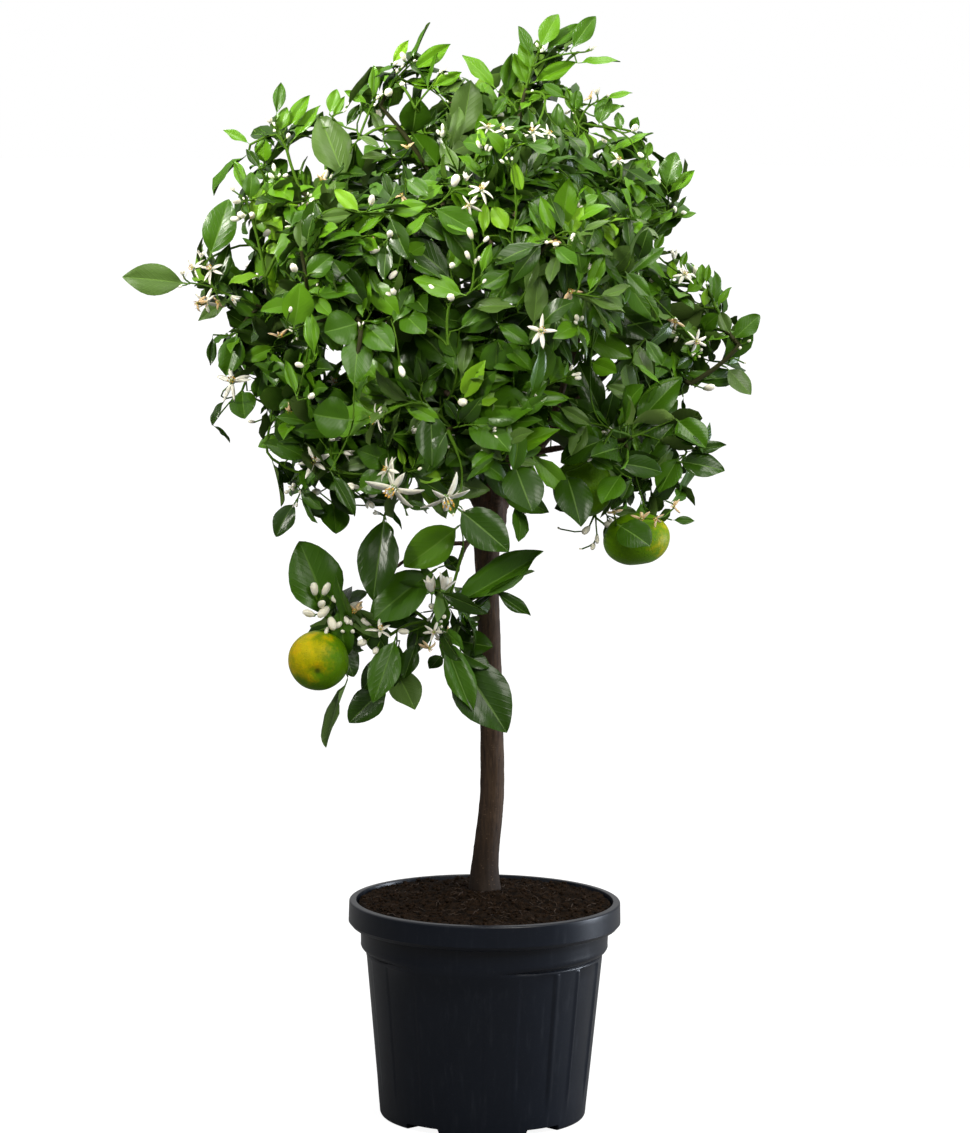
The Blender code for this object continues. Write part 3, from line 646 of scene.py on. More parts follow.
# Mass, depth along Y in metres, and pixels of the camera's frame: the stem, then its leaves
# (foot, tip, width and tone) and its buds (spot and size).
SPRAYS = (
    ("top_left", -0.03, ((380, 106), (391, 86), (401, 74), (410, 65)),
     ((411, 66, 430.5, 22, 6, MID), (409, 72, 451, 44, 16, FRESH), (391, 66, 409, 40, 10, YOUNG),
     (403, 80, 435, 86, 9, FRESH), (404, 84, 436, 90, 8, FRESH)),
     ((405, 61, 1.03), (394, 64, 0.6), (397, 73, 0.5), (399.5, 84, 0.7), (388, 95, 1.16), (401, 68, 0.4))),
    ("top_left", -0.036, ((358, 140), (365, 122), (372, 105), (376, 99)),
     ((372, 102, 373.5, 65, 10, FRESH), (370, 105, 344, 91, 9, FRESH), (345, 128, 360, 104, 10, DARK),
     (384, 136, 372, 112, 12, SHEEN_GREY), (329, 115, 337, 89, 14, FRESH), (332, 120, 345, 96, 9, FRESH)),
     ((377, 99, 0.6), (374, 106, 0.5), (343, 112, 0.5), (347, 106, 0.4))),
    ("top_left", -0.04, ((415, 108), (421, 99), (430, 88), (438, 76)),
     ((433, 87, 462, 72, 12, FRESH), (430, 90, 449, 73, 9, YOUNG), (412, 136, 417, 96, 31, DARK),
     (410, 142, 382, 140, 19, DARK), (460, 140, 471, 80, 35, SHEEN_GREY), (424, 130, 436, 108, 12, DARK),
     (347, 184, 319, 116, 39, SHEEN_GREY), (352, 180, 356, 142, 26, DARK), (440, 168, 413, 134, 27, MID),
     (478, 140, 452, 152, 22, SHEEN_GREY)),
     ((440, 73, 0.6), (392, 155, 0.5), (444, 74, 0.4))),
    ("top_right", -0.03, ((519, 116), (526, 88), (532, 68), (539, 51)),
     ((534, 60, 518, 26, 11, MID), (531, 72, 523, 38, 19, FRESH), (539, 50, 558.5, 14, 19, FRESH),
     (542, 53, 583, 24, 15, MID), (527, 86, 514, 53, 16, FRESH), (505, 97, 512, 53, 19, MID),
     (498, 92, 462, 55, 15, FRESH), (530, 84, 577, 62, 17, FRESH), (524, 102, 558, 90, 10, FRESH),
     (522, 100, 515, 80, 13, YOUNG), (492, 118, 508, 96, 12, MID)),
     ((541, 52, 0.5), (531, 92, 0.4))),
    ("top_right", -0.034, ((534, 66), (548, 59), (566, 54), (585, 52)),
     ((570, 51, 596, 16, 18, MID), (576, 63, 621, 62, 10, FRESH), (562, 54, 581, 26, 6, SHEEN_GREY),
     (566, 98, 543, 84, 12, MID), (576, 117, 566, 88, 11, FRESH), (575, 112, 578, 90, 13, MID)),
     ((591, 50, 0.9),)),
    ("upper_right", -0.03, ((576, 130), (580, 121), (588, 107), (603, 99)),
     ((604, 99, 633, 93, 8, FRESH), (598, 127, 610, 94, 18, MID), (621, 133, 618, 112, 10, MID),
     (608, 154, 654, 133, 10, FRESH), (631, 132, 638, 117, 11, MID), (557, 141, 558, 103, 15, MID),
     (581, 139, 556, 111, 11, FRESH), (647, 158, 650, 142, 9, FRESH), (614, 183, 657, 161, 18, FRESH)),
     ((597, 94, 1.06), (632, 131, 0.9), (638, 153, 0.7), (606, 143, 0.9), (588, 160, 0.6), (598, 158, 0.6))),
    ("upper_right", -0.024, ((643, 240), (650, 230), (659, 223), (676, 216)),
     ((666, 190, 676, 152, 22, MID), (667, 195, 695, 170, 13, FRESH), (677, 210, 687, 196, 5, MID),
     (676, 218, 697, 213, 7, FRESH), (666, 218, 656, 192, 8, FRESH), (654, 252, 664, 234, 9, FRESH)),
     ((675, 212, 0.7), (654, 177, 1.1))),
    ("right", -0.004, ((690, 384), (708, 373), (725, 360), (741, 344)),
     ((733, 340, 760, 315, 20, MID), (730, 334, 720, 312, 14, SHEEN_GREY), (700, 331, 719, 314, 18, MID),
     (703, 342, 743, 333, 9, FRESH), (726, 367, 751, 395, 21, SHEEN_GREY), (682, 374, 718, 378, 11, MID),
     (683, 396, 685, 417, 5, DARK), (716, 309, 732, 287, 8, FRESH), (714, 309, 714, 270, 10, MID),
     (706, 285, 709, 264, 8, FRESH), (700, 289, 702, 264, 11, FRESH), (704, 308, 706, 288, 10, YOUNG),
     (685, 293, 704, 280, 12, FRESH), (672, 282, 672, 261, 11, YOUNG), (680, 271, 687, 251, 8, FRESH),
     (714, 362, 710, 352, 8, DARK)),
     ((704, 388.5, 1.16), (744, 363, 0.3), (739, 349, 0.4))),
    ("low_right", -0.06, ((624, 440), (632, 464), (640, 492), (645, 508)),
     ((675, 418, 706, 448, 31, MID), (686, 452, 727, 445, 13, DARK), (676, 461, 725, 471, 26, DARK),
     (636, 472, 674, 424, 26, DARK), (680, 455, 659, 493, 26, MID), (623, 467, 618, 412, 22, DARK),
     (632, 430, 682, 377, 31, MID), (640, 512, 611, 512, 12, SHEEN_GREY), (671, 520, 695, 521, 9, MID),
     (651, 478, 643, 492, 9, DARK), (605, 422, 578, 362, 26, DARK), (579, 335, 632, 358, 22, FRESH),
     (600, 298, 655, 338, 36, DARK), (633, 431, 640, 456, 9, FRESH)),
     ((589, 527, 1.1), (604, 524, 1.03), (597, 535, 0.9), (594, 543, 0.7), (582, 549, 0.3), (560, 529, 0.3))),
    ("low_right", -0.108, ((612, 430), (604, 444), (596, 455)),
     ((617, 524, 650, 546, 32, DARK), (565, 471, 581, 527, 37, DARK), (622, 473, 602, 504, 26, MID),
     (587, 456, 613, 469, 15, MID), (610, 443, 585, 453, 13, YOUNG), (588, 422, 571, 456, 18, SHEEN_GREY),
     (556, 405, 592, 426, 15, SHEEN_GREY), (545, 408, 578, 434, 14, MID), (640, 400, 607, 386, 14, SHEEN_GREY),
     (632, 478, 622, 500, 13, DARK), (590, 362, 617, 373, 20, FRESH), (632, 362, 661, 387, 7, FRESH),
     (645, 338, 662, 365, 14, MID)),
     ()),
    ("upper_left", -0.022, ((300, 190), (291, 165), (286, 148), (278, 133)),
     ((276, 117, 281, 82, 13, MID), (284, 131, 310, 95, 15, FRESH), (279, 132, 287, 107, 14, FRESH),
     (292, 141, 321, 105, 14, FRESH), (251, 145, 223, 130, 9, FRESH), (261, 169, 246, 149, 10, DARK),
     (264, 165, 264, 136, 18, FRESH), (277, 149, 257, 128, 7, MID), (299, 178, 308, 156, 4, SHEEN_GREY),
     (306, 197, 306, 165, 9, FRESH), (262, 189, 280, 168, 14, MID)),
     ((271, 123, 0.9), (274, 130, 0.5), (287, 138, 0.6), (323, 180, 1.1), (304, 204, 0.9))),
    ("upper_left", -0.03, ((266, 276), (260, 249), (254, 226), (247, 204)),
     ((247, 199, 232, 160, 11, FRESH), (249, 201, 251, 172, 17, MID), (255, 225, 263, 188, 17, YOUNG),
     (268, 241, 282, 217, 20, YOUNG), (264, 252, 281, 246, 11, YOUNG), (258, 249, 242, 238, 6, MID),
     (209, 259, 229, 199, 34, MID), (214, 290, 230, 243, 17, DARK), (264, 275, 228, 285, 8, YOUNG),
     (275, 299, 276, 264, 18, YOUNG)),
     ((240, 202, 1.0), (245, 217, 0.9), (240, 219, 0.9), (251, 217, 1.0), (234, 191, 0.8), (264, 236, 0.9))),
    ("left", -0.014, ((244, 300), (226, 294), (208, 286), (190, 283)),
     ((190, 284, 122, 277, 33, SHEEN_GREY), (213, 292, 232, 256, 14, DARK), (237, 331, 226, 376, 26, MID),
     (213, 334, 210, 366, 10, DARK), (277, 346, 243, 361, 16, FRESH), (262, 318, 233, 291, 24, MID),
     (250, 326, 226, 312, 18, DARK), (242, 390, 245, 419, 28, MID), (256, 400, 262, 375, 16, MID),
     (282, 436, 258, 447, 14, FRESH), (226, 398, 212, 426, 7, DARK), (212, 424, 230, 443, 5, DARK),
     (231, 300, 198, 321, 13, SHEEN_GREY)),
     ((183, 275, 0.7), (276, 422, 1.06), (255, 422, 0.7))),
    ("low_left", -0.056, ((312, 470), (304, 485), (298, 498)),
     ((296, 501, 276, 537, 20, DARK), (331, 501, 336, 534, 28, MID), (327, 484, 353, 515, 17, DARK),
     (272, 458, 281, 507, 5, DARK), (291, 483, 279, 462, 20, DARK), (385, 505, 402, 530, 7, DARK),
     (396, 502, 358, 496, 17, DARK)),
     ((320, 492, 1.0),)),
    ("front_left", -0.18, ((352, 372), (358, 352), (361, 330)),
     ((360, 322, 324, 332, 34, MID), (362, 322, 394, 352, 30, MID), (360, 332, 354, 383, 31, MID),
     (402, 312, 425, 334, 27, MID), (354, 420, 313, 414, 40, MID), (392, 325, 412, 285, 20, MID),
     (293, 330, 300, 283, 30, FRESH), (315, 358, 310, 311, 16, FRESH), (305, 278, 333, 255, 22, MID),
     (301, 252, 301, 219, 16, SHEEN_GREY), (297, 398, 285, 360, 12, FRESH), (316, 219, 352, 214, 13, SHEEN_GREY),
     (361, 213, 334, 190, 14, YOUNG), (330, 470, 355, 517, 16, DARK)),
     ((303, 366, 1.06), (290, 312, 0.6), (400, 366, 1.03), (309, 398, 0.8), (296, 271, 1.16))),
    ("front_left", -0.172, ((448, 345), (447, 320), (452, 300), (470, 292), (474, 268)),
     ((467, 296, 413, 279, 23, FRESH), (398, 247, 432, 213, 11, FRESH), (388, 214, 427, 205, 17, FRESH),
     (432, 206, 478, 232, 26, MID), (434, 217, 476, 235, 12, FRESH), (402, 258, 426, 244, 17, FRESH),
     (450, 272, 461, 242, 17, FRESH), (481, 276, 492, 243, 12, FRESH), (366, 264, 383, 300, 9, FRESH),
     (405, 178, 428, 196, 18, MID), (459, 330, 486, 306, 14, MID), (392, 200, 383, 172, 10, DARK)),
     ((472, 239, 1.13), (484, 242, 0.7), (469, 259, 0.9), (451, 267, 0.8), (436, 293, 1.03), (452, 299, 1.03),
     (390, 236, 1.19), (380, 248, 1.0), (397, 271, 1.06), (453, 186, 1.19), (483, 283, 0.5),
     (371, 205, 1.22))),
    ("front_right", -0.168, ((520, 262), (512, 240), (516, 214), (515, 190), (512, 168)),
     ((483, 237, 485, 202, 12, YOUNG), (508, 232, 492, 207, 17, YOUNG), (556, 237, 540, 196, 14, FRESH),
     (547, 240, 527, 201, 12, MID), (533, 329, 537, 273, 24, SHEEN_GREY), (518, 313, 515, 284, 14, DARK),
     (496, 374, 498, 339, 31, MID), (522, 198, 512, 160, 13, YOUNG), (505, 240, 486, 268, 10, MID),
     (572, 240, 563, 208, 12, FRESH), (590, 330, 572, 282, 26, MID), (612, 273, 633, 247, 26, SHEEN_GREY),
     (624, 270, 650, 297, 16, MID), (560, 240, 584, 207, 16, YOUNG), (495, 322, 530, 345, 16, MID)),
     ((504, 163, 0.6), (553, 244, 0.9), (547, 242, 0.7))),
    ("front_low", -0.15, ((448, 430), (462, 470), (458, 505)),
     ((456, 507, 509, 552, 40, DARK), (470, 405, 533, 409, 42, MID), (514, 462, 532, 511, 40, DARK),
     (470, 408, 510, 452, 40, MID), (447, 426, 400, 401, 17, FRESH), (430, 408, 432, 468, 33, DARK),
     (450, 397, 460, 360, 18, MID), (424, 400, 434, 378, 14, MID), (392, 464, 357, 450, 26, MID),
     (356, 492, 392, 470, 26, MID), (405, 470, 398, 444, 8, YOUNG), (412, 470, 416, 445, 12, YOUNG),
     (408, 470, 441, 479, 17, YOUNG), (400, 503, 430, 509, 10, DARK), (480, 440, 446, 466, 26, MID)),
     ((459.5, 402, 1.35), (418, 470, 0.5))),
    ("hanging_right", -0.058, ((463, 548), (457, 572), (450, 596), (442, 620)),
     ((461, 524, 404, 567, 38, FRESH), (439, 567, 369, 624, 45, MID), (445, 609, 544, 551, 31, MID),
     (455, 609, 535, 571, 15, DARK), (492, 589, 531, 616, 14, DARK), (466, 619, 500, 590, 8, DARK),
     (445, 555, 459, 572, 15, DARK), (441, 630, 473, 713, 27, MID), (455, 640, 493, 647, 27, DARK),
     (460, 652, 490, 668, 18, DARK), (459, 629, 479, 624, 10, DARK), (442, 654, 429, 669, 14, DARK),
     (462, 611, 455, 641, 5, SHEEN_GREY), (424, 612, 380, 626, 18, DARK), (432, 614, 410, 658, 22, DARK),
     (454, 654, 507, 733, 57, DARK)),
     ((437, 608, 1.06), (432, 617, 0.6), (445, 616, 0.6), (441, 622, 0.5), (409, 632, 1.03))),
    ("hanging_left", -0.06, ((428, 621), (410, 624), (398, 630), (384, 638), (368, 637), (352, 630),
     (336, 634)),
     ((331, 623, 299, 541, 53, MID), (397, 634, 373, 703, 32, MID), (390, 685, 349, 723, 30, DARK),
     (394, 667, 415, 710, 33, SHEEN_GREY), (417, 640, 404, 679, 19, DARK), (336, 638, 354, 677, 25, DARK),
     (348, 676, 326, 748, 8, SHEEN_GREY), (386, 652, 362, 692, 20, DARK), (400, 640, 392, 690, 22, DARK)),
     ((315, 595, 1.3), (323, 595, 1.4), (331, 598, 1.4), (320, 606, 1.4), (314, 615, 1.4), (329, 607, 1.4),
     (330, 617, 1.3), (350, 606, 1.16), (345, 614, 1.1), (361, 619, 1.16), (342, 622, 0.8), (328, 627, 0.8),
     (336, 625, 0.6), (344, 632, 0.7), (351, 626, 0.8), (353, 632, 0.7), (366, 642, 1.06), (377, 648, 1.0))),
    ("front_low", -0.064, ((398, 500), (391, 508), (384, 516)),
     ((385, 511, 373, 601, 41, DARK), (386, 519, 389, 546, 14, FRESH)),
     ()),
)
# Placed flowers: pixel, depth, reach of a petal in pixels, kind, and lean to the right and up.
FLOWERS = ((541, 331, -0.186, 18, "star", 0.1, 0.1), (394, 488, -0.156, 30, "torn", -0.5, -0.5),
    (388, 470, -0.156, 16, "torn", -0.8, 0.3), (446, 498, -0.156, 29, "torn", 0.4, -0.9),
    (232, 382, -0.03, 22, "torn", 0.0, 0.3), (211, 270, -0.022, 16, "torn", -0.3, 0.4),
    (194, 268, -0.02, 14, "torn", -0.8, 0.2), (201, 258, -0.018, 10, "cup", 0.0, 0.8),
    (206, 302, -0.02, 16, "torn", -0.2, -0.3), (231, 296, -0.02, 13, "cup", 0.9, -0.8),
    (314, 462, -0.112, 19, "star", 0.0, 0.2), (481, 190, -0.176, 16, "torn", 0.2, 0.6),
    (470, 205, -0.176, 13, "torn", -0.5, -0.2), (466, 181, -0.172, 10, "cup", 0.1, 0.9),
    (696, 341, -0.034, 15, "torn", 0.2, -0.2), (684, 275, -0.03, 14, "torn", 0.3, 0.5),
    (674, 259, -0.026, 12, "cup", 0.0, 0.8), (675, 318, -0.044, 11, "cup", 0.0, -0.3),
    (432, 592, -0.076, 20, "cup", -0.2, 1.0), (443, 590, -0.076, 20, "cup", 0.3, 1.0),
    (380, 631, -0.078, 15, "star", 0.2, 0.9), (434, 632, -0.078, 13, "torn", 0.0, 0.0),
    (533, 132, -0.1, 15, "torn", -0.2, 0.5), (548, 134, -0.1, 12, "torn", 0.4, 0.5),
    (504, 130, -0.09, 12, "torn", -0.4, 0.6), (618, 160, -0.06, 12, "torn", 0.3, 0.4),
    (308, 202, -0.06, 9, "cup", 0.0, -0.4), (488, 128, -0.09, 12, "torn", 0.2, 0.6),
    (575, 268, -0.15, 10, "cup", 0.0, 0.5), (561, 298, -0.15, 10, "cup", 0.0, 0.9),
    (330, 440, -0.12, 12, "cup", 0.6, 0.3), (344, 452, -0.12, 11, "cup", 0.7, -0.2))
FADED = ((570, 291, -0.17, 14), (676, 322, -0.048, 12), (429, 648, -0.076, 13), (356, 610, -0.074, 13),
    (198, 303, -0.022, 13), (219, 301, -0.022, 12), (279, 337, -0.13, 13), (603, 288, -0.09, 10),
    (641, 519, -0.092, 13), (656, 518, -0.09, 11), (614, 512, -0.088, 11), (674, 507, -0.08, 11),
    (408, 148, -0.09, 10), (402, 196, -0.16, 10), (555, 242, -0.17, 9), (290, 412, -0.11, 11),
    (591, 98, -0.04, 9), (322, 178, -0.06, 9))
# Fruit: pixel of its middle, depth, width and height in pixels, mass whose twigs bear it.
FRUITS = ((318.5, 660.5, -0.062, 60, 57, "foliage_hanging_left"),
    (636.5, 539, -0.066, 66, 52, "foliage_low_right"), (583, 488, -0.066, 60, 58, "foliage_low_right"))
# Open spots between and beside the sprays: pixel and radius.
OPEN_SPOTS = ((300, 158, 11), (312, 150, 10), (313, 178, 7), (410, 92, 7), (388, 118, 7), (430, 108, 8),
    (396, 108, 7), (548, 108, 11), (565, 122, 7), (590, 120, 6), (498, 100, 7), (243, 258, 11), (225, 320, 8),
    (562, 275, 4), (605, 355, 4), (650, 353, 5), (668, 305, 6), (695, 405, 12), (652, 245, 5), (660, 262, 5),
    (250, 300, 6), (612, 272, 4), (470, 60, 10), (720, 395, 9), (345, 505, 6), (375, 520, 9), (180, 304, 18),
    (205, 330, 9), (240, 434, 20), (258, 466, 15), (585, 76, 13), (610, 78, 12), (512, 650, 15),
    (514, 676, 14), (676, 232, 9), (734, 306, 8), (440, 690, 10), (548, 540, 14), (560, 448, 3), (300, 90, 8),
    (355, 78, 8), (502, 22, 20), (700, 185, 16), (720, 250, 18), (188, 385, 14), (190, 440, 14),
    (736, 432, 15), (700, 150, 12), (290, 624, 10), (682, 508, 9), (277, 490, 7), (662, 146, 8),
    (283, 602, 9), (281, 573, 9), (344, 692, 8), (700, 490, 12), (188, 243, 8), (684, 238, 6), (686, 196, 5),
    (466, 40, 9), (236, 118, 9), (702, 246, 10), (730, 284, 7), (292, 632, 8), (346, 572, 7), (302, 472, 6),
    (354, 510, 8), (516, 604, 6))


# ======== Paints ========
def plastic_paint(settings):
    paint = Paint("moulded_plastic")
    cloud = paint.noise(26.0, 3.0)
    scuff = paint.noise((240.0, 240.0, 26.0), 3.0, 0.6).over(0.52, 0.8)
    dust = paint.noise(900.0).over(0.6, 0.74)
    base = paint.mix(cloud, scaled(settings.plastic, 0.82), scaled(settings.plastic, 1.22))
    pale = paint.mix(scuff * 0.035 + dust * 0.03, base, linear(120, 124, 134))
    grain = paint.noise(2600.0)
    return paint.finish(Base_Color=pale, Roughness=0.3 + cloud * 0.08 + scuff * 0.08,
                        Normal=paint.bump(grain * 0.5 + cloud, 0.16, 0.0002),
                        Specular_IOR_Level=0.3)


def soil_paint(settings, light):
    paint = Paint("peat_crumbs" if light else "peat")
    clods = paint.noise(170.0, 5.0, 0.7)
    grains = paint.noise(1100.0, 4.0, 0.75)
    brown = paint.mix(clods.over(0.34, 0.66), settings.wet, settings.dry)
    speck = paint.mix(grains.over(0.3, 0.6), scaled(settings.wet, 0.45), brown)
    colour = paint.mix(0.3, speck, settings.dry) if light else speck
    return paint.finish(Base_Color=colour, Roughness=0.95, Specular_IOR_Level=0.06,
                        Normal=paint.bump(clods + grains * 0.5, 0.8, 0.0012))


def bark_paint(settings):
    paint = Paint("bark")
    height = paint.axis(paint.place, "Z")
    streaks = paint.noise((520.0, 520.0, 46.0), 5.0, 0.68)
    patches = paint.noise(58.0, 3.0, 0.6)
    pores = paint.noise((420.0, 420.0, 900.0))
    red = height.over(TRUNK_HIGH.z - 0.075, TRUNK_HIGH.z - 0.03)
    brown = paint.mix(red, settings.brown, settings.head)
    mottled = paint.mix(patches.over(0.32, 0.7), scaled(settings.brown, 0.74), brown)
    cracked = paint.mix(streaks.over(0.34, 0.6), settings.dark, mottled)
    # Darker towards the foot, fading out 0.1 m above the pot's rim.
    foot = 1.0 - height.over(POT_HEIGHT, POT_HEIGHT + 0.1)
    darker_at_foot = paint.mix(foot * 0.85, cracked, scaled(settings.dark, 0.5))
    specked = paint.mix(pores.over(0.66, 0.74) * 0.25, darker_at_foot, linear(150, 122, 98))
    twig = height.over(TRUNK_HIGH.z + 0.01, TRUNK_HIGH.z + 0.15)
    shaded = paint.mix(twig * 0.55, specked, linear(72, 70, 42))
    return paint.finish(Base_Color=shaded, Roughness=0.84 - patches * 0.12, Specular_IOR_Level=0.25,
                        Normal=paint.bump(streaks + pores * 0.35, 0.55, 0.0008))


# ======== Pot ========
def wall_radius(height):
    """Outside radius of the pot under its band."""
    if height <= SHOULDER:
        return BASE_RADIUS + (SHOULDER_RADIUS - BASE_RADIUS) * height / SHOULDER
    rise = min((height - SHOULDER) / COLLAR_ROUND, 1.0)
    return SHOULDER_RADIUS + (COLLAR_RADIUS - SHOULDER_RADIUS) * sin(rise * pi / 2)


def pot_lining():
    """(radius, height) points up the inside of the wall."""
    return [(wall_radius(h) - WALL, h) for h in
            (FLOOR_TOP + 0.002, 0.04, 0.08, SHOULDER, SHOULDER + 0.003, SHOULDER + COLLAR_ROUND,
             POT_HEIGHT - RIM_BAND)]


def pot_outline():
    """(radius, height) points from the floor inside, over the rim and down to the hub."""
    foot, top = POT_HEIGHT - RIM_BAND, SHOULDER + COLLAR_ROUND
    inner_lip, chamfer = RIM_RADIUS - RIM_LIP, RIM_RADIUS - BAND_CHAMFER
    bevel = SHOULDER_RADIUS - SHOULDER_BEVEL
    points = [(0.0, FLOOR_TOP), (BASE_RADIUS - 0.006, FLOOR_TOP)] + pot_lining()

    def go(*stops):
        for radius, height, count in stops:
            points.extend(run(points[-1], (radius, height), count))

    points += arc(inner_lip + 0.0007, POT_HEIGHT - 0.0007, 0.0007, 180, 90, 5)
    go((RIM_RADIUS - 0.0022, POT_HEIGHT - 0.0002, 3))
    points += arc(RIM_RADIUS - 0.002, POT_HEIGHT - 0.0018, 0.0016, 84, 4, 7)
    go((RIM_RADIUS, foot + BAND_CHAMFER + 0.0004, 4), (chamfer + 0.0003, foot + 0.0002, 4),
       (chamfer - 0.0004, foot, 1), (chamfer - 0.0006, foot + 0.0006, 1),
       (RIM_RADIUS - WALL - 0.0016, foot + 0.002, 1), (RIM_RADIUS - WALL, POT_HEIGHT - WALL, 1),
       (inner_lip - 0.0008 + WALL, POT_HEIGHT - WALL, 1), (COLLAR_RADIUS, foot + 0.004, 1),
       (COLLAR_RADIUS + 0.0004, foot - 0.001, 1), (COLLAR_RADIUS, foot - 0.004, 1),
       (COLLAR_RADIUS - 0.0003, top + 0.0006, 3))
    points += [(bevel + (COLLAR_RADIUS - bevel) * cos(part) ** 0.8,
                top - (COLLAR_ROUND - SHOULDER_BEVEL) * sin(part))
               for part in (0.25, 0.5, 0.75, 1.0, 1.2, 1.38, 1.5)]
    go((bevel, SHOULDER + SHOULDER_BEVEL, 1), (SHOULDER_RADIUS - 0.0004, SHOULDER + 0.0003, 1),
       (SHOULDER_RADIUS, SHOULDER - 0.0004, 1))
    for height, count in ((FLUTE_TOP - 0.0016, 6), (0.06, 8), (0.0052, 16), (BASE_ROUND, 4)):
        go((wall_radius(height), height, count))
    points += arc(BASE_RADIUS - BASE_ROUND, BASE_ROUND, BASE_ROUND, -8, -90, 6)
    go((FOOT_INNER, 0.0, 4), (FOOT_INNER - 0.0006, 0.0006, 1), (FOOT_INNER - 0.002, FLOOR_RAISE, 1),
       (HUB_RADIUS + 0.002, FLOOR_RAISE, 5), (HUB_RADIUS + 0.0006, 0.0006, 1), (HUB_RADIUS, 0.0, 1))
    return points + [(0.0, 0.0)]


def pot_shape(depth):
    """Sinks the upright panels, eases the shoulder at the front and opens the drain notches."""
    lining = set(pot_lining())

    def shape(radius, height, angle):
        if (radius, height) in lining:
            return radius, height
        around = (angle - FLUTE_FIRST + pi / FLUTES) % (tau / FLUTES) - pi / FLUTES
        inside = FLUTE_ARC / 2 - abs(around)
        if height < FLUTE_TOP and radius > wall_radius(height) - 0.0004:
            tall = smoothstep((FLUTE_TOP - height) / 0.0016) * smoothstep((height - 0.012) / FLUTE_FADE)
            sunk = smoothstep(inside / radians(0.9) + 0.5)
            bead = exp(-((inside + radians(1.2)) / radians(1.2)) ** 2)
            lit = max(cos(angle - BEAD_SIDE), 0.0) ** 12
            radius += tall * (0.001 * lit * bead - depth * (0.35 + 0.65 * lit) * sunk)
        if SHOULDER - SHOULDER_EASE < height < SHOULDER + COLLAR_ROUND:
            aside = abs((angle - FLUSH_MIDDLE + pi) % tau - pi)
            flush = smoothstep((FLUSH_ARC / 2 + FLUSH_FADE - aside) / FLUSH_FADE)
            ease = smoothstep((height - SHOULDER + SHOULDER_EASE) / (SHOULDER_EASE + COLLAR_ROUND))
            eased = wall_radius(min(height, SHOULDER)) + (COLLAR_RADIUS - SHOULDER_RADIUS) * ease
            radius += flush * max(eased - radius, 0.0)
        turn = (angle - FIRST_NOTCH + pi / NOTCHES) % (tau / NOTCHES) - pi / NOTCHES
        if abs(turn) < NOTCH_ARC / 2 and height < NOTCH_HEIGHT and radius > FOOT_INNER - 0.0016:
            height = NOTCH_HEIGHT + height * 0.05
        return radius, height
    return shape


class Step:
    """What all steps share."""
    bl_options = {"REGISTER", "UNDO"}


def drill(pot):
    """Drain holes through the floor of the pot."""
    bm = bmesh.new()
    for index in range(NOTCHES):
        angle = FIRST_NOTCH + index * tau / NOTCHES
        place = Matrix.Translation((DRAIN_CIRCLE * cos(angle), DRAIN_CIRCLE * sin(angle), 0.006))
        bmesh.ops.create_cone(bm, cap_ends=True, segments=40, radius1=DRAIN_RADIUS, radius2=DRAIN_RADIUS,
                              depth=0.008, matrix=place)
    drains = object_of(bm, "drains")
    cut = pot.modifiers.new("drains", "BOOLEAN")
    cut.operation = "DIFFERENCE"
    cut.object = drains
    pot = plain_mesh(pot, "nursery_pot")
    drop(drains)
    return pot


class CITRUS_OT_pot(Step, bpy.types.Operator):
    """Nursery pot with its turned-down band, collar, shallow panels and drain notches"""
    bl_idname = "citrus.pot"
    bl_label = "Pot"

    def execute(self, context):
        settings = look("pot")
        shape = pot_shape(settings.flute_depth)
        pot = mesh_object("pot_body", *turned(pot_outline()[::-1], POT_STEPS, shape))
        pot = drill(pot)
        pot.data.shade_smooth()
        pot.data.set_sharp_from_angle(angle=radians(38.0))
        pot.data.materials.clear()
        pot.data.materials.append(plastic_paint(settings))
        settle(pot, "pot", "pot")
        return {"FINISHED"}


# ======== Soil ========
SOIL_EDGE = 0.1736
SOIL_CROWN = 0.1806
SOIL_MOUND = 0.06
SOIL_RING = 0.0016  # bare wall left between the soil and the rim
SOIL_STEPS = 300  # round the soil
TRUNK_FOOT = Vector((-0.0005, 0.02, 0.0))


def soil_height(x, y, lump):
    """Top of the soil: a low mound round the trunk, with clods and grains."""
    away = hypot(x - TRUNK_FOOT.x, y - TRUNK_FOOT.y)
    mound = exp(-(max(away - 0.016, 0.0) / SOIL_MOUND) ** 2)
    edge = smoothstep(hypot(x, y) / COLLAR_RADIUS)
    height = SOIL_EDGE + (SOIL_CROWN - SOIL_EDGE) * mound * (1.0 - 0.75 * edge)
    clods = noise.noise(Vector((x, y, 0.4)) * 70.0) + 0.8 * abs(noise.noise(Vector((x, y, 1.7)) * 150.0))
    grains = noise.noise(Vector((x, y, 2.9)) * 330.0) + 0.6 * noise.noise(Vector((x, y, 5.1)) * 700.0)
    return height + lump * (0.75 * clods + 0.42 * grains - 0.15)


def root_ball(settings):
    edge = RIM_RADIUS - RIM_LIP - SEAT_GAP - SOIL_RING
    top = [(0.0, SOIL_EDGE)] + run((0.0, SOIL_EDGE), (edge - 0.0008, SOIL_EDGE), 58)
    side = [(edge, SOIL_EDGE - 0.001)]
    side += [(wall_radius(height) - WALL - SEAT_GAP, height) for height in
             (POT_HEIGHT - RIM_BAND, SHOULDER + COLLAR_ROUND, SHOULDER + 0.003, SHOULDER, 0.06)]
    side += [(wall_radius(FLOOR_TOP) - WALL - SEAT_GAP - 0.001, FLOOR_TOP + 0.002),
             (0.07, FLOOR_TOP + SEAT_GAP), (0.0, FLOOR_TOP + SEAT_GAP)]

    def shape(radius, height, angle):
        if height < SOIL_EDGE - 0.0005:
            return radius, height
        x, y = radius * cos(angle), radius * sin(angle)
        return radius, soil_height(x, y, settings.lump)

    soil = mesh_object("peat_top", *turned((top + side)[::-1], SOIL_STEPS, shape))
    soil.data.vertices[-1].co.z = soil_height(0.0, 0.0, settings.lump)
    soil.data.materials.append(soil_paint(settings, False))
    return soil


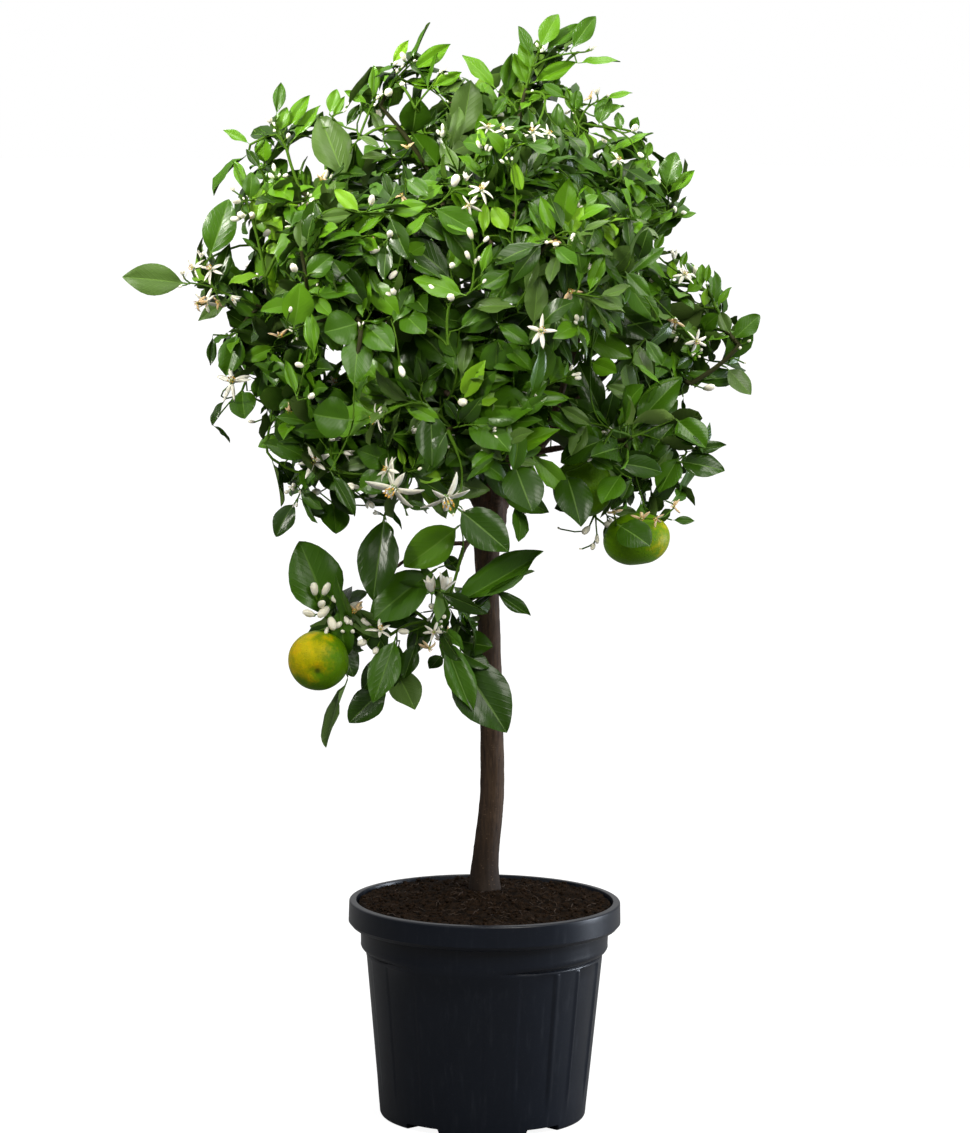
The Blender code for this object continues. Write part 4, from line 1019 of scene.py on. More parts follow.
def soil_spot(rng, reach=0.1):
    """A spot on the soil, off the trunk."""
    while True:
        angle, radius = rng.uniform(0.0, tau), reach * sqrt(rng.random())
        x, y = radius * cos(angle), radius * sin(angle)
        if hypot(x - TRUNK_FOOT.x, y - TRUNK_FOOT.y) > 0.014:
            return x, y


def from_lowest(corners):
    """Corners of a face, starting at the lowest index."""
    first = corners.index(min(corners))
    return corners[first:] + corners[:first]


def peat_crumbs(settings):
    rng = random.Random(31)
    shapes = []
    for kind in range(5):
        bm = bmesh.new()
        bmesh.ops.create_uvsphere(bm, u_segments=7, v_segments=5, radius=0.5)
        for vert in bm.verts:
            shift = Vector((kind * 3.7, 1.1, 0.3))
            vert.co *= 1.0 + 0.55 * noise.noise(vert.co * 3.1 + shift)
            vert.co.z *= 0.72
        verts = [tuple(vert.co) for vert in bm.verts]
        faces = sorted(from_lowest([vert.index for vert in face.verts]) for face in bm.faces)
        bm.free()
        shapes.append(shape_object("crumb_%d" % kind, verts, faces, [0] * len(faces)))
    places = Places()
    for _ in range(settings.crumbs):
        x, y = soil_spot(rng)
        size = settings.crumb * rng.choice((0.45, 0.6, 0.75, 1.0, 1.0, 1.5))
        axis = Matrix.Rotation(rng.uniform(0.0, tau), 3, "Z") @ Matrix.Rotation(
            rng.uniform(-0.5, 0.5), 3, "X")
        spot = (x, y, soil_height(x, y, settings.lump) + size * 0.16)
        scale = [size * rng.uniform(0.7, 1.4) for _ in range(3)]
        places.add(spot, [axis.col[0], axis.col[1], axis.col[2]], scale, rng.randrange(5))
    return scattered("peat_crumbs", shapes, places, [soil_paint(settings, True)])


def peat_fibres(settings):
    rng = random.Random(32)
    lines = []
    for _ in range(settings.fibres):
        x, y = soil_spot(rng, 0.094)
        angle = rng.uniform(0.0, tau)
        length = rng.uniform(0.004, 0.013)
        thick = rng.uniform(0.00016, 0.00042)
        points = []
        for step in range(6):
            angle += rng.uniform(-0.4, 0.4)
            x += cos(angle) * length / 5
            y += sin(angle) * length / 5
            if hypot(x, y) > 0.1:
                break
            lift = thick + 0.001 * rng.random() * step / 5
            points.append((x, y, soil_height(x, y, settings.lump) + lift))
        lines.append((points, [thick] * len(points)))
    material = grained_paint("peat_fibre", settings.dry, (0.6, 1.9), (300.0, 2200.0), (0.4, 0.0002),
                             Roughness=0.9)
    return tubes("peat_fibres", lines, 5, material)


class CITRUS_OT_soil(Step, bpy.types.Operator):
    """Root ball with a lumpy top, crumbs and fibres"""
    bl_idname = "citrus.soil"
    bl_label = "Soil"

    def execute(self, context):
        settings = look("soil")
        for obj in (root_ball(settings), peat_crumbs(settings), peat_fibres(settings)):
            settle(obj, "soil", "soil")
        return {"FINISHED"}


# ======== Stage ========
def add_floor(settings):
    bm = bmesh.new()
    bmesh.ops.create_circle(bm, cap_ends=True, segments=96, radius=30.0)
    floor = object_of(bm, "floor")
    paint = Paint("floor")
    tint = paint.noise(3.0)
    colour = paint.mix(tint, scaled(settings.floor, 0.98), settings.floor)
    seen = paint.add("ShaderNodeLightPath", None, None, "Is Camera Ray")
    behind = paint.axis(paint.place, "Y").over(0.2, 2.0)
    glow = (0.92 * seen).most(0.26 * behind)
    floor.data.materials.append(
        paint.finish(Base_Color=colour, Roughness=1.0, Specular_IOR_Level=0.0,
                     Emission_Color=(1.0, 1.0, 1.0), Emission_Strength=glow))


def add_sky(scene):
    world = bpy.data.worlds.new("studio")
    world.use_nodes = True
    graph = Graph(world.node_tree)
    sky = world.node_tree.nodes["Background"]
    seen = graph.add("ShaderNodeLightPath", None, None, "Is Camera Ray")
    direction = graph.add("ShaderNodeTexCoord", None, None, "Generated")
    height = graph.axis(direction, "Z")
    behind = graph.axis(direction, "Y")
    dome = 0.13 + height.over(0.0, 0.95) * 0.95 + behind.over(0.86, 0.99) * 0.34
    graph.feed(sky.inputs["Color"], (1.0, 1.0, 1.0))
    graph.feed(sky.inputs["Strength"], seen.most(dome))
    scene.world = world


def add_light(name, place, target, size, power, colour):
    data = bpy.data.lights.new(name, "AREA")
    data.color = colour
    data.shape = "DISK"
    data.size = size
    data.energy = power
    obj = add_object(name, data)
    obj.location = place
    obj.rotation_euler = (Vector(target) - Vector(place)).to_track_quat("-Z", "Y").to_euler()
    return data


def add_camera(scene):
    data = bpy.data.cameras.new("camera")
    data.sensor_fit = "AUTO"
    data.sensor_width = SENSOR
    data.lens = FOCAL_PIXELS * SENSOR / max(FRAME_WIDTH, FRAME_HEIGHT)
    data.clip_end = 60.0
    obj = add_object("camera", data)
    turn = Matrix((RIGHT, UP, -FORWARD)).transposed().to_4x4()
    obj.matrix_world = Matrix.Translation(CAMERA_PLACE) @ turn
    scene.camera = obj


class CITRUS_OT_stage(Step, bpy.types.Operator):
    """Pale floor, soft lights and the camera"""
    bl_idname = "citrus.stage"
    bl_label = "Stage"

    def execute(self, context):
        settings = look("stage")
        scene = context.scene
        scene.view_settings.view_transform = "Standard"
        add_floor(settings)
        add_sky(scene)
        warm, cool = (1.0, 0.98, 0.9), (0.8, 0.88, 1.0)
        add_light("key", (0.95, -1.5, 1.75), (0.0, 0.0, 0.55), 1.1, settings.key, warm)
        add_light("top", (0.2, -0.15, 2.2), (0.0, 0.0, 0.6), 0.9, settings.key * 0.7, warm)
        fill = add_light("fill", (-1.5, -1.3, 1.5), (-0.05, 0.0, 0.8), 0.4, settings.key * 0.05, warm)
        fill.spread = radians(22.0)
        add_light("side", (1.7, 0.3, 0.35), (0.0, 0.0, 0.12), 0.6, settings.key * 0.76, cool)
        add_camera(scene)
        return {"FINISHED"}


# ======== Bark ========
GRAFT_DROP = 0.016  # middle of the graft head below the trunk's top
BOUGH_SIDES = 8  # corners of a bough's cross-section


def curve_through(knots, steps):
    """Points on a smooth curve through knots, each a row of numbers."""
    rows = np.array([knots[0], *knots, knots[-1]])
    t = np.arange(steps)[:, None] / steps
    weights = np.hstack((-t + 2 * t ** 2 - t ** 3, 2 - 5 * t ** 2 + 3 * t ** 3,
                         t + 4 * t ** 2 - 3 * t ** 3, -t ** 2 + t ** 3)) / 2
    made = [weights @ rows[start:start + 4] for start in range(len(knots) - 1)]
    return np.vstack(made + [rows[-1:]]).tolist()


def rings_of(bm, reach=0.0052):
    """Groups of vertices that lie close together: the cross-sections of a tube."""
    left = [vert.co.copy() for vert in bm.verts]
    rings = []
    while left:
        ring, queue = [], [left.pop()]
        while queue:
            here = queue.pop()
            ring.append(here)
            near = [other for other in left if (other - here).length < reach]
            for other in near:
                left.remove(other)
            queue.extend(near)
        rings.append(ring)
    return rings


def limb_path(node, surfaces):
    """(place, radius) knots of a bough from its bearer to its mass, and the mass that it enters."""
    bm = merged_copy(node)
    rings = rings_of(bm)
    bm.free()
    knots = []
    for ring in rings:
        middle = sum(ring, Vector()) / len(ring)
        knots.append((middle, sum((point - middle).length for point in ring) / len(ring), len(ring)))

    def gap(name):
        return min(surfaces[name].find_nearest(knot[0])[3] for knot in knots)

    mass = min(surfaces, key=gap)
    end = min(knots, key=lambda knot: surfaces[mass].find_nearest(knot[0])[3])
    knots.remove(end)
    path = [end]
    while knots:
        path.append(min(knots, key=lambda knot: (knot[0] - path[-1][0]).length))
        knots.remove(path[-1])
    foot = path[-1][0]
    path = [(middle, radius) for middle, radius, count in path if count == BOUGH_SIDES or middle is foot]
    root, before = path[-1], path[-2]
    inward = (root[0] - before[0]).normalized()
    path[-1] = (root[0], before[1] * 1.06)
    path.append((root[0] + inward * 0.0045, before[1] * 1.1))
    path.reverse()
    return path, mass


def surface_of(node):
    bm = merged_copy(node)
    tree = BVHTree.FromBMesh(bm)
    bm.free()
    return tree


def relief_tree():
    """Raises bark: long streaks, shallow dents and swellings at the graft."""
    tree = Tree("bark_relief")
    height = tree.input("Relief", "Float", 0.0007)
    graft = tree.input("Graft", "Float", 0.5)
    material = tree.input("Material", "Material")
    place = tree.add("GeometryNodeInputPosition")
    normal = tree.add("GeometryNodeInputNormal")
    level = tree.axis(place, "Z")
    streaks = tree.noise_at(place, (330.0, 330.0, 34.0), 3.0, 0.6)
    dents = tree.noise_at(place, 85.0)
    swell = tree.noise_at(place, 62.0)
    head = (level - graft).over(-0.034, -0.012) * (1.0 - (level - graft).over(0.012, 0.04))
    thick = 1.0 - 0.45 * (level - graft).over(0.0, 0.03)
    rise = thick * height * ((streaks - 0.5) * 2.6 + (dents - 0.5) * 2.2) + head * (swell - 0.42) * 0.0085
    offset = tree.vector("SCALE", {"Vector": normal, "Scale": rise})
    moved = tree.add("GeometryNodeSetPosition", None, {"Geometry": tree.geometry(), "Offset": offset})
    return tree.end_in(moved, material)


def smooth_trunk():
    bm = merged_copy("trunk")
    bmesh.ops.join_triangles(bm, faces=bm.faces, angle_face_threshold=radians(40.0),
                             angle_shape_threshold=radians(50.0))
    foot = min(vert.co.z for vert in bm.verts)
    crease = bm.edges.layers.float.new("crease_edge")
    for edge in bm.edges:
        if all(vert.co.z < foot + 0.0001 for vert in edge.verts):
            edge[crease] = 1.0
    obj = object_of(bm, "trunk_copy")
    subdivision = obj.modifiers.new("round", "SUBSURF")
    subdivision.levels = subdivision.render_levels = 2
    return plain_mesh(obj, "trunk_smooth")


def limb_tubes(material):
    lines = []
    for path, _ in plant().limbs.values():
        line = curve_through([(*point, radius) for point, radius in path], 8)
        lines.append(([row[:3] for row in line], [max(row[3], 0.0015) for row in line]))
    return tubes("limbs", lines, 14, material)


class CITRUS_OT_bark(Step, bpy.types.Operator):
    """Trunk, graft head and boughs under one skin of bark"""
    bl_idname = "citrus.bark"
    bl_label = "Bark"

    def execute(self, context):
        settings = look("bark")
        material = bark_paint(settings)
        bm = bmesh.new()
        for obj in (smooth_trunk(), limb_tubes(material)):
            bm.from_mesh(obj.data)
            drop(obj)
        source = object_of(bm, "bark_source")
        source.data.materials.clear()
        skin = source.modifiers.new("skin", "REMESH")
        skin.mode = "VOXEL"
        skin.voxel_size = settings.grain
        soft = source.modifiers.new("soft", "SMOOTH")
        soft.factor = 0.5
        soft.iterations = 3
        graft = TRUNK_HIGH.z - GRAFT_DROP
        relief_tree().use_on(source, Relief=settings.relief, Graft=graft, Material=material)
        bark = plain_mesh(source, "bark")
        settle(bark, "bark", "trunk", *BOUGHS)
        return {"FINISHED"}


# ======== Growth ========
GRAVITY = Vector((0.0, 0.0, -1.0))
UPWARD = Vector((0.0, 0.0, 1.0))
GOLDEN = radians(137.5)  # turn from one leaf to the next
NODE_STEP = 0.009
RISING_FROM, RISING_OVER = 0.7, 0.12  # height above which shoots turn upwards, and over how much of it
TONE_FROM, TONE_OVER = 0.45, 0.42  # height where sprays are darkest, and from there to the palest: partly new growth at the top, partly painted light and shade that make the top paler and the lower crown darker
HANGING_SHOOTS = 5
GAP_REACH = 0.036  # how far a shoot between two masses lies from them
GAP_SPACING = 0.019
GAP_TRIES = 12000
OPEN_MARGIN = 4.0  # pixels between a shoot's tip and an open spot
FAMILIES = ("lance", "ellipse", "broad", "round")
FAMILY_SHARES = (7, 7, 2, 1)
FAMILY_WIDTHS = {"lance": 0.33, "ellipse": 0.41, "broad": 0.5, "round": 0.6}  # of the length
VARIANTS = 4  # leaf shapes in each family
# Masses on the right whose shoots take more fresh and grey leaves: painted sheen, paler leaves where light
# from the right falls on them.
SHEEN_PAINTED_MASSES = ("foliage_right", "foliage_front_right", "foliage_low_right")
BUD_CHANCE, BLOSSOM_CHANCE = 0.17, 0.06  # at the end of a shoot
LIGHT_LOAD = 0.3  # how much a placed leaf thickens the twigs below it
LAYER = 0.0014  # each leaf of a placed spray lies this much behind the last
TUCK = 0.55  # how far a placed leaf's twig bends back, of its length
WOODY_FROM = 2.4  # times a tip's radius
PLACED_FAMILIES = (("lance", 0.4), ("ellipse", 0.54), ("broad", 0.74), ("round", inf))  # up to a width
CELL = 0.012  # of the grid in which near leaves are looked up
LEAF_APART = 0.0062  # the middles of two leaves that face alike
OLD_LEAF = 0.046  # length on the inner twigs
NEIGHBOURS = [(x, y, z) for x in (-1, 0, 1) for y in (-1, 0, 1) for z in (-1, 0, 1)]


def rising(height):
    """From 0 where shoots hang to 1 where they turn upwards."""
    return smoothstep((height - RISING_FROM) / RISING_OVER)


def cell(point):
    return tuple(int(part // CELL) for part in point)


def in_open_spot(spot, spare):
    across, down = pixel(spot)
    return any(hypot(across - x, down - y) < radius + spare for x, y, radius in OPEN_SPOTS)


class Skeleton:
    """The branching of one mass: nodes joined in chains from the free end of its bough."""

    def __init__(self, start, heading, radius):
        self.points, self.headings, self.parents = [start], [heading], [-1]
        self.root_radius = radius
        self.chains = []
        self.light = set()

    def extend(self, points, parent):
        """Adds a chain of nodes and gives their numbers."""
        chain = [parent]
        for point in points:
            before = self.points[chain[-1]]
            step = point - before
            if step.length < 0.0008:
                continue
            self.points.append(point)
            self.headings.append(step.normalized())
            self.parents.append(chain[-1])
            chain.append(len(self.points) - 1)
        if len(chain) > 1:
            self.chains.append(chain)
        return chain

    def grow(self, target, rng, lift=0.0, tuck=0.0):
        """Grows a twig from the node that suits a target best, tucked back into the crown on its way."""
        places = np.array([tuple(point) for point in self.points])
        leads = np.array([tuple(heading) for heading in self.headings])
        across = np.array(tuple(target)) - places
        far = np.maximum(np.linalg.norm(across, axis=1), 0.0001)
        facing = (across * leads).sum(axis=1) / far
        cost = far * (1.55 - 0.75 * facing)
        number = int(np.argmin(cost))
        start, heading = self.points[number], self.headings[number]
        distance = (target - start).length
        wander = Vector((rng.uniform(-1, 1), rng.uniform(-1, 1), rng.uniform(-1, 1))) * distance * 0.07
        bend = start + heading * distance * 0.38 + Vector((0.0, tuck, lift)) * distance + wander
        count = max(2, round(distance / NODE_STEP))
        points = []
        for step in range(1, count + 1):
            part = step / count
            points.append(start.lerp(bend, part).lerp(bend.lerp(target, part), part))
        return self.extend(points, number)

    def prune(self, chain):
        """Takes back the last chain, which stayed bare."""
        if len(chain) > 1:
            self.chains.pop()
            for rows in (self.points, self.headings, self.parents):
                del rows[chain[1]:]

    def radii(self, tip):
        """Radius at every node from the twigs that it carries."""
        load = [0.0] * len(self.points)
        children = [0] * len(self.points)
        for number in range(len(self.points) - 1, 0, -1):
            if children[number] == 0:
                load[number] = LIGHT_LOAD if number in self.light else 1.0
            load[self.parents[number]] += load[number] + 0.02
            children[self.parents[number]] += 1
        most = max(load[0], 1.0)
        power = min(0.32, log(max(self.root_radius / tip, 1.05)) / log(most + 1.0))
        return [tip * max(part, 1.0) ** power for part in load]


class Leaf:
    """Where a leaf stands: foot, tip, upper side, width, family and tone."""

    def __init__(self, foot, tip, face, width, family, tone):
        self.foot, self.tip, self.width, self.family, self.tone = foot, tip, width, family, tone
        self.along = (tip - foot).normalized()
        self.face = (face - self.along * face.dot(self.along)).normalized()

    def middle(self):
        return self.foot.lerp(self.tip, 0.55)


class Plant:
    """Everything that grows on the boughs, worked out once and shared by the operators."""

    def __init__(self, settings, tip_radius):
        self.rng = random.Random(settings.seed)
        self.settings = settings
        self.tip_radius = tip_radius
        self.surfaces = {name: surface_of(name) for name in MASSES}
        self.limbs = {name: limb_path(name, self.surfaces) for name in BOUGHS}
        self.leaves, self.buds, self.flowers, self.fruits, self.lines = [], [], [], [], []
        self.skeletons = {}
        for path, mass in self.limbs.values():
            heading = (path[-1][0] - path[-2][0]).normalized()
            start = path[-1][0] - heading * 0.004
            self.skeletons[mass] = Skeleton(start, heading, path[-1][1])
        missing = set(MASSES) - set(self.skeletons)
        if missing:
            raise RuntimeError("no bough enters " + ", ".join(sorted(missing)))
        self.shown = []
        self.place_sprays()
        self.placed_count = len(self.leaves)
        self.grid = {}
        for leaf in self.leaves:
            self.note(leaf)
        for mass in MASSES:
            self.fill(mass)
        self.close_gaps()
        self.make_lines()

    # ---- Placed sprays ----
    def place_sprays(self):
        for mass, depth, line, leaves, buds in SPRAYS:
            skeleton = self.skeletons["foliage_" + mass]
            stem = [placed(across, down, depth) for across, down in line]
            entry = skeleton.grow(stem[0], self.rng, 0.05)
            skeleton.extend([Vector(row) for row in curve_through(stem, 4)[1:]], entry[-1])
            self.cluster(stem[-1], skeleton.headings[-1], 2, 0.5)
            for order, row in enumerate(leaves):
                self.place_leaf(skeleton, depth + LAYER * order, row)
            for across, down, size in buds:
                self.place_bud(skeleton, placed(across, down, depth - 0.004), size)
        for across, down, depth, reach, kind, aside, up in FLOWERS:
            self.place_flower(placed(across, down, depth), reach, kind, (aside, up))
        for across, down, depth, reach in FADED:
            lean = (self.rng.uniform(-0.5, 0.5), self.rng.uniform(-0.4, 0.4))
            self.place_flower(placed(across, down, depth), reach, "spent", lean)
        for across, down, depth, wide, high, mass in FRUITS:
            half = (wide * PIXEL_SIZE / 2, high * PIXEL_SIZE / 2)
            self.place_fruit(placed(across, down, depth), half, self.skeletons[mass])

    def show(self, spot, reach):
        """Keeps grown leaves out of the view of a placed thing."""
        across, down = pixel(spot)
        self.shown.append((across, down, spot.y, reach))

    def place_leaf(self, skeleton, depth, row):
        foot_x, foot_y, tip_x, tip_y, wide, tone = row
        rng = self.rng
        near = depth + rng.uniform(-0.002, 0.002)
        seen = hypot(tip_x - foot_x, tip_y - foot_y) * PIXEL_SIZE
        shown = wide * PIXEL_SIZE
        toward = min(sqrt(max((shown / 0.6) ** 2 - seen ** 2, 0.0)), 0.016)
        foot = placed(foot_x, foot_y, near + 0.8 * toward)
        rise = (foot_y - tip_y) * PIXEL_SIZE
        tip = placed(tip_x, tip_y, near - 0.2 * toward + 0.26 * rise * rng.uniform(0.4, 1.2)
                     + rng.uniform(-0.08, 0.04) * seen)
        along = (tip - foot).normalized()
        length = (tip - foot).length
        roll = max(acos(min(shown / max(shown, 0.34 * length), 1.0)), rng.uniform(0.1, 0.45))
        width = shown / cos(roll)
        to_eye = (CAMERA_PLACE - foot).normalized()
        to_eye = (to_eye - along * to_eye.dot(along)).normalized()
        side = along.cross(to_eye)
        if side.z + 0.25 * side.x * rng.choice((1, 1, -1)) < 0.0:
            side = -side
        face = to_eye * cos(roll) + side * sin(roll)
        family = next(name for name, most in PLACED_FAMILIES if width / length < most)
        if length > 0.004:
            leaf = Leaf(foot, tip, face, width, family, tone)
            self.leaves.append(leaf)
            self.show(leaf.middle(), 9.0 + 0.3 * wide)
            if wide > 25:
                self.show(foot.lerp(tip, 0.85), 0.4 * wide)
            skeleton.light.add(skeleton.grow(foot + along * 0.0006, self.rng, 0.04, TUCK)[-1])

    def place_bud(self, skeleton, spot, size):
        chain = skeleton.grow(spot, self.rng, 0.05)
        heading = skeleton.headings[chain[-1]]
        lean = (heading + UPWARD * 0.5 + Vector((self.rng.uniform(-0.3, 0.3), -0.2, 0.0))).normalized()
        self.buds.append((spot, lean, size, "bud"))
        self.show(spot, 5.0)

    def place_flower(self, spot, reach, kind, lean):
        skeleton = min(self.skeletons.values(),
                       key=lambda item: min((point - spot).length for point in item.points))
        skeleton.grow(spot + Vector((0.0, 0.002, -0.001)), self.rng, 0.06)
        facing = (RIGHT * lean[0] + UP * lean[1] - FORWARD * (0.25 if kind == "cup" else 0.8)).normalized()
        self.flowers.append((spot, facing, reach * PIXEL_SIZE, kind))
        self.show(spot, 0.8 * reach)

    def place_fruit(self, spot, half, skeleton):
        top = spot + UPWARD * half[1] * 0.9
        chain = skeleton.grow(top + UPWARD * 0.003, self.rng, 0.16)
        skeleton.extend([top], chain[-1])
        self.fruits.append((spot, half))
        self.show(spot, half[0] / PIXEL_SIZE)

    # ---- Grown sprays ----
    def fill(self, mass):
        rng = self.rng
        skeleton = self.skeletons[mass]
        low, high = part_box(mass)
        size = ((high.x - low.x) * (high.y - low.y) * (high.z - low.z)) ** (1 / 3)
        count = max(5, round(self.settings.shoots * (size / 0.125) ** 2))
        if mass.startswith(HANGING):
            count = HANGING_SHOOTS
        for target in self.targets(mass, count, size / 2):
            chain = skeleton.grow(target, rng, 0.05 - 0.22 * rising(target.z))
            self.clothe(mass, skeleton, chain)
        self.dress(mass, skeleton)

    def close_gaps(self):
        """Leafy shoots between the masses, which lean in from two sides."""
        rng = self.rng
        upper = [name for name in MASSES if not name.startswith(HANGING)]
        corners = [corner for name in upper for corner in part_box(name)]
        low = [min(corner[axis] for corner in corners) for axis in range(3)]
        high = [max(corner[axis] for corner in corners) for axis in range(3)]
        found, tries = [], 0
        while len(found) < self.settings.between and tries < GAP_TRIES:
            tries += 1
            spot = Vector([rng.uniform(low[axis], high[axis]) for axis in range(3)])
            sides = sorted((self.outside(name, spot), name) for name in upper)
            gap, mass = sides[0]
            if not 0.0 < gap < GAP_REACH or sides[1][0] > 1.6 * GAP_REACH:
                continue
            if any((spot - other).length < GAP_SPACING for other in found) or in_open_spot(spot, OPEN_MARGIN):
                continue
            first, second = (self.surfaces[name].find_nearest(spot)[0] - spot for _, name in sides[:2])
            if first.dot(second) > -0.15 * first.length * second.length:
                continue
            found.append(spot)
            skeleton = self.skeletons[mass]
            self.clothe(mass, skeleton, skeleton.grow(spot, rng, 0.04))

    def outside(self, mass, spot):
        """How far a spot lies outside a mass; negative inside it."""
        near, normal, _, distance = self.surfaces[mass].find_nearest(spot)
        return distance if (spot - near).dot(normal) > 0.0 else -distance

    def targets(self, mass, count, reach):
        """Spread spots just under the outer surface of a mass, and a few deeper in."""
        rng = self.rng
        tree = self.surfaces[mass]
        low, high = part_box(mass)
        middle = (low + high) / 2
        spread = 1.35 * reach / sqrt(count)
        found, tries = [], 0
        while len(found) < count and tries < count * 120:
            tries += 1
            ray = any_way(rng)
            hit, _, _, distance = tree.ray_cast(middle, ray)
            if hit is None:
                continue
            distance = min(distance, reach * 1.22)
            inner = rng.random() < 0.28
            depth = rng.uniform(0.3, 0.62) * distance if inner else distance - rng.uniform(0.016, 0.03)
            spot = middle + ray * max(depth, 0.012)
            outward = (spot - CROWN_MIDDLE).normalized()
            if not inner and not mass.startswith(HANGING) and ray.dot(outward) < -0.25:
                continue
            near = tries < count * 60 and any((spot - other).length < spread for other in found)
            if not near and not in_open_spot(spot, OPEN_MARGIN):
                found.append(spot)
        return found

    def clothe(self, mass, skeleton, chain):
        """Leaves, buds and blossom along the outer part of a shoot."""
        rng = self.rng
        tip = skeleton.points[chain[-1]]
        height = (tip.z - TONE_FROM) / TONE_OVER
        tone = self.spray_tone(mass, height)
        shade = 1.0 - 0.4 * min(max(height, 0.0), 1.0)
        length = self.settings.longest * shade * rng.uniform(0.78, 1.05)
        angle = rng.uniform(0.0, tau)
        count = rng.choice((8, 9, 10, 11, 12))
        leaves = len(self.leaves)
        for place, heading, part in self.stations(skeleton, chain, count):
            angle += GOLDEN + rng.uniform(-0.25, 0.25)
            self.try_leaf(mass, place, heading, angle, part, length, tone)
        if len(self.leaves) < leaves + 2:
            del self.leaves[leaves:]
            skeleton.prune(chain)
            return
        heading = skeleton.headings[chain[-1]]
        draw = rng.random()
        if draw < BUD_CHANCE:
            self.cluster(tip, heading, rng.choice((3, 4, 5, 6)), rng.uniform(0.5, 0.95))
        elif draw < BUD_CHANCE + BLOSSOM_CHANCE:
            spot = tip + heading * 0.006
            self.flowers.append((spot, (heading + UPWARD * 0.2).normalized(), rng.uniform(0.01, 0.015),
                                 rng.choice(("star", "torn", "cup", "spent"))))

    def dress(self, mass, skeleton):
        """Older leaves on the bare inner stretches of the twigs, near the outside of a mass. Their darker
        tones are partly the older leaves' own colour, partly painted shade inside the crown.
        """
        rng = self.rng
        for number in range(2, len(skeleton.points), 2):
            place, heading = skeleton.points[number], skeleton.headings[number]
            if -0.05 < self.outside(mass, place) < 0.0:
                # Darker tones: partly the colour of older leaves, partly painted shade inside the crown.
                tone = rng.choice((MID, DARK, DARK))
                self.try_leaf(mass, place, heading, rng.uniform(0.0, tau), 0.5, OLD_LEAF, tone)

    def stations(self, skeleton, chain, count):
        """Places down from a shoot's tip, a leaf's spacing apart, with their headings."""
        rng = self.rng
        gap = self.settings.spacing * rng.uniform(0.85, 1.25)
        made, walked, need = [], 0.0, 0.0
        for before, after in zip(chain[-2::-1], chain[:0:-1]):
            start, end = skeleton.points[after], skeleton.points[before]
            length = (end - start).length
            while need <= walked + length and len(made) < count:
                part = (need - walked) / max(length, 0.0001)
                made.append((start.lerp(end, part), skeleton.headings[after], len(made) / count))
                need += gap * (0.35 if len(made) < 3 else 1.0)
            walked += length
        return made

    def spray_tone(self, mass, height):
        rng = self.rng
        # Darker tones for the hanging spray and low in the crown are partly painted shade; the young and
        # fresh tones high up are partly new growth, partly painted light from above.
        if mass.startswith(HANGING):
            return rng.choice((MID, DARK, DARK, SHEEN_GREY))
        # Painted sheen: the right-hand masses lean towards the fresh and grey tones.
        pale = 0.45 if mass in SHEEN_PAINTED_MASSES else 0.0
        weights = (max(0.0, height - 0.62) * 0.75 + 0.02, 0.16 + max(0.0, height) * 0.62 + pale, 0.62,
                   0.5 - 0.4 * min(max(height, 0.0), 1.0), 0.1 + pale)
        return rng.choices(TONES, weights)[0]

    def try_leaf(self, mass, place, heading, angle, part, length, tone):
        rng = self.rng
        side = heading.orthogonal().normalized()
        radial = side * cos(angle) + heading.cross(side) * sin(angle)
        open_angle = radians(rng.uniform(26, 48) + 28 * part)
        along = heading * cos(open_angle) + radial * sin(open_angle)
        droop = 0.1 + 0.3 * part - 0.55 * rising(place.z)
        along = (along + GRAVITY * droop * rng.random()).normalized()
        size = length * (0.62 + 0.42 * min(part * 2.4, 1.0)) * rng.uniform(0.85, 1.12)
        outward = (place - CROWN_MIDDLE).normalized()
        for attempt in range(3):
            tip = place + along * size
            if self.room(mass, tip, outward) or attempt == 2:
                break
            along = (along - outward * 0.55 + GRAVITY * 0.1).normalized()
            size *= 0.84
        if not self.room(mass, tip, outward) or tip.z > CAD_BOX[1].z - 0.001:
            return
        face = UPWARD * 0.6 + outward * 0.7 + Vector((rng.gauss(0, 0.28), rng.gauss(0, 0.28), 0.0))
        family = rng.choices(FAMILIES, FAMILY_SHARES)[0]
        width = size * (FAMILY_WIDTHS[family] * rng.uniform(0.9, 1.1))
        leaf = Leaf(place, tip, face, width, family, tone)
        if self.crowded(leaf) or self.blocks(leaf):
            return
        self.leaves.append(leaf)
        self.note(leaf)

    def room(self, mass, point, outward):
        """The point is inside its mass, just outside it, or in the crown's open middle."""
        near, normal, _, distance = self.surfaces[mass].find_nearest(point)
        if (point - near).dot(normal) <= 0.0:
            return True
        return distance < (0.03 if normal.dot(outward) < 0.0 else 0.007)

    def note(self, leaf):
        self.grid.setdefault(cell(leaf.middle()), []).append(leaf)

    def crowded(self, leaf):
        """Another leaf lies almost in the same place and faces the same way."""
        middle = leaf.middle()
        x, y, z = cell(middle)
        return any((other.middle() - middle).length < LEAF_APART and abs(other.face.dot(leaf.face)) > 0.35
                   for i, j, k in NEIGHBOURS for other in self.grid.get((x + i, y + j, z + k), ()))

    def blocks(self, leaf):
        """The leaf would cover an open spot or hang in front of a placed leaf."""
        for part in (0.35, 0.7, 1.0):
            spot = leaf.foot.lerp(leaf.tip, part)
            if in_open_spot(spot, 3.0):
                return True
        middle = leaf.middle()
        across, down = pixel(middle)
        spread = 0.18 * leaf.width / PIXEL_SIZE
        return middle.y < 0.03 and any(
            depth > middle.y + 0.002 and hypot(x - across, y - down) < reach + spread
            for x, y, depth, reach in self.shown)

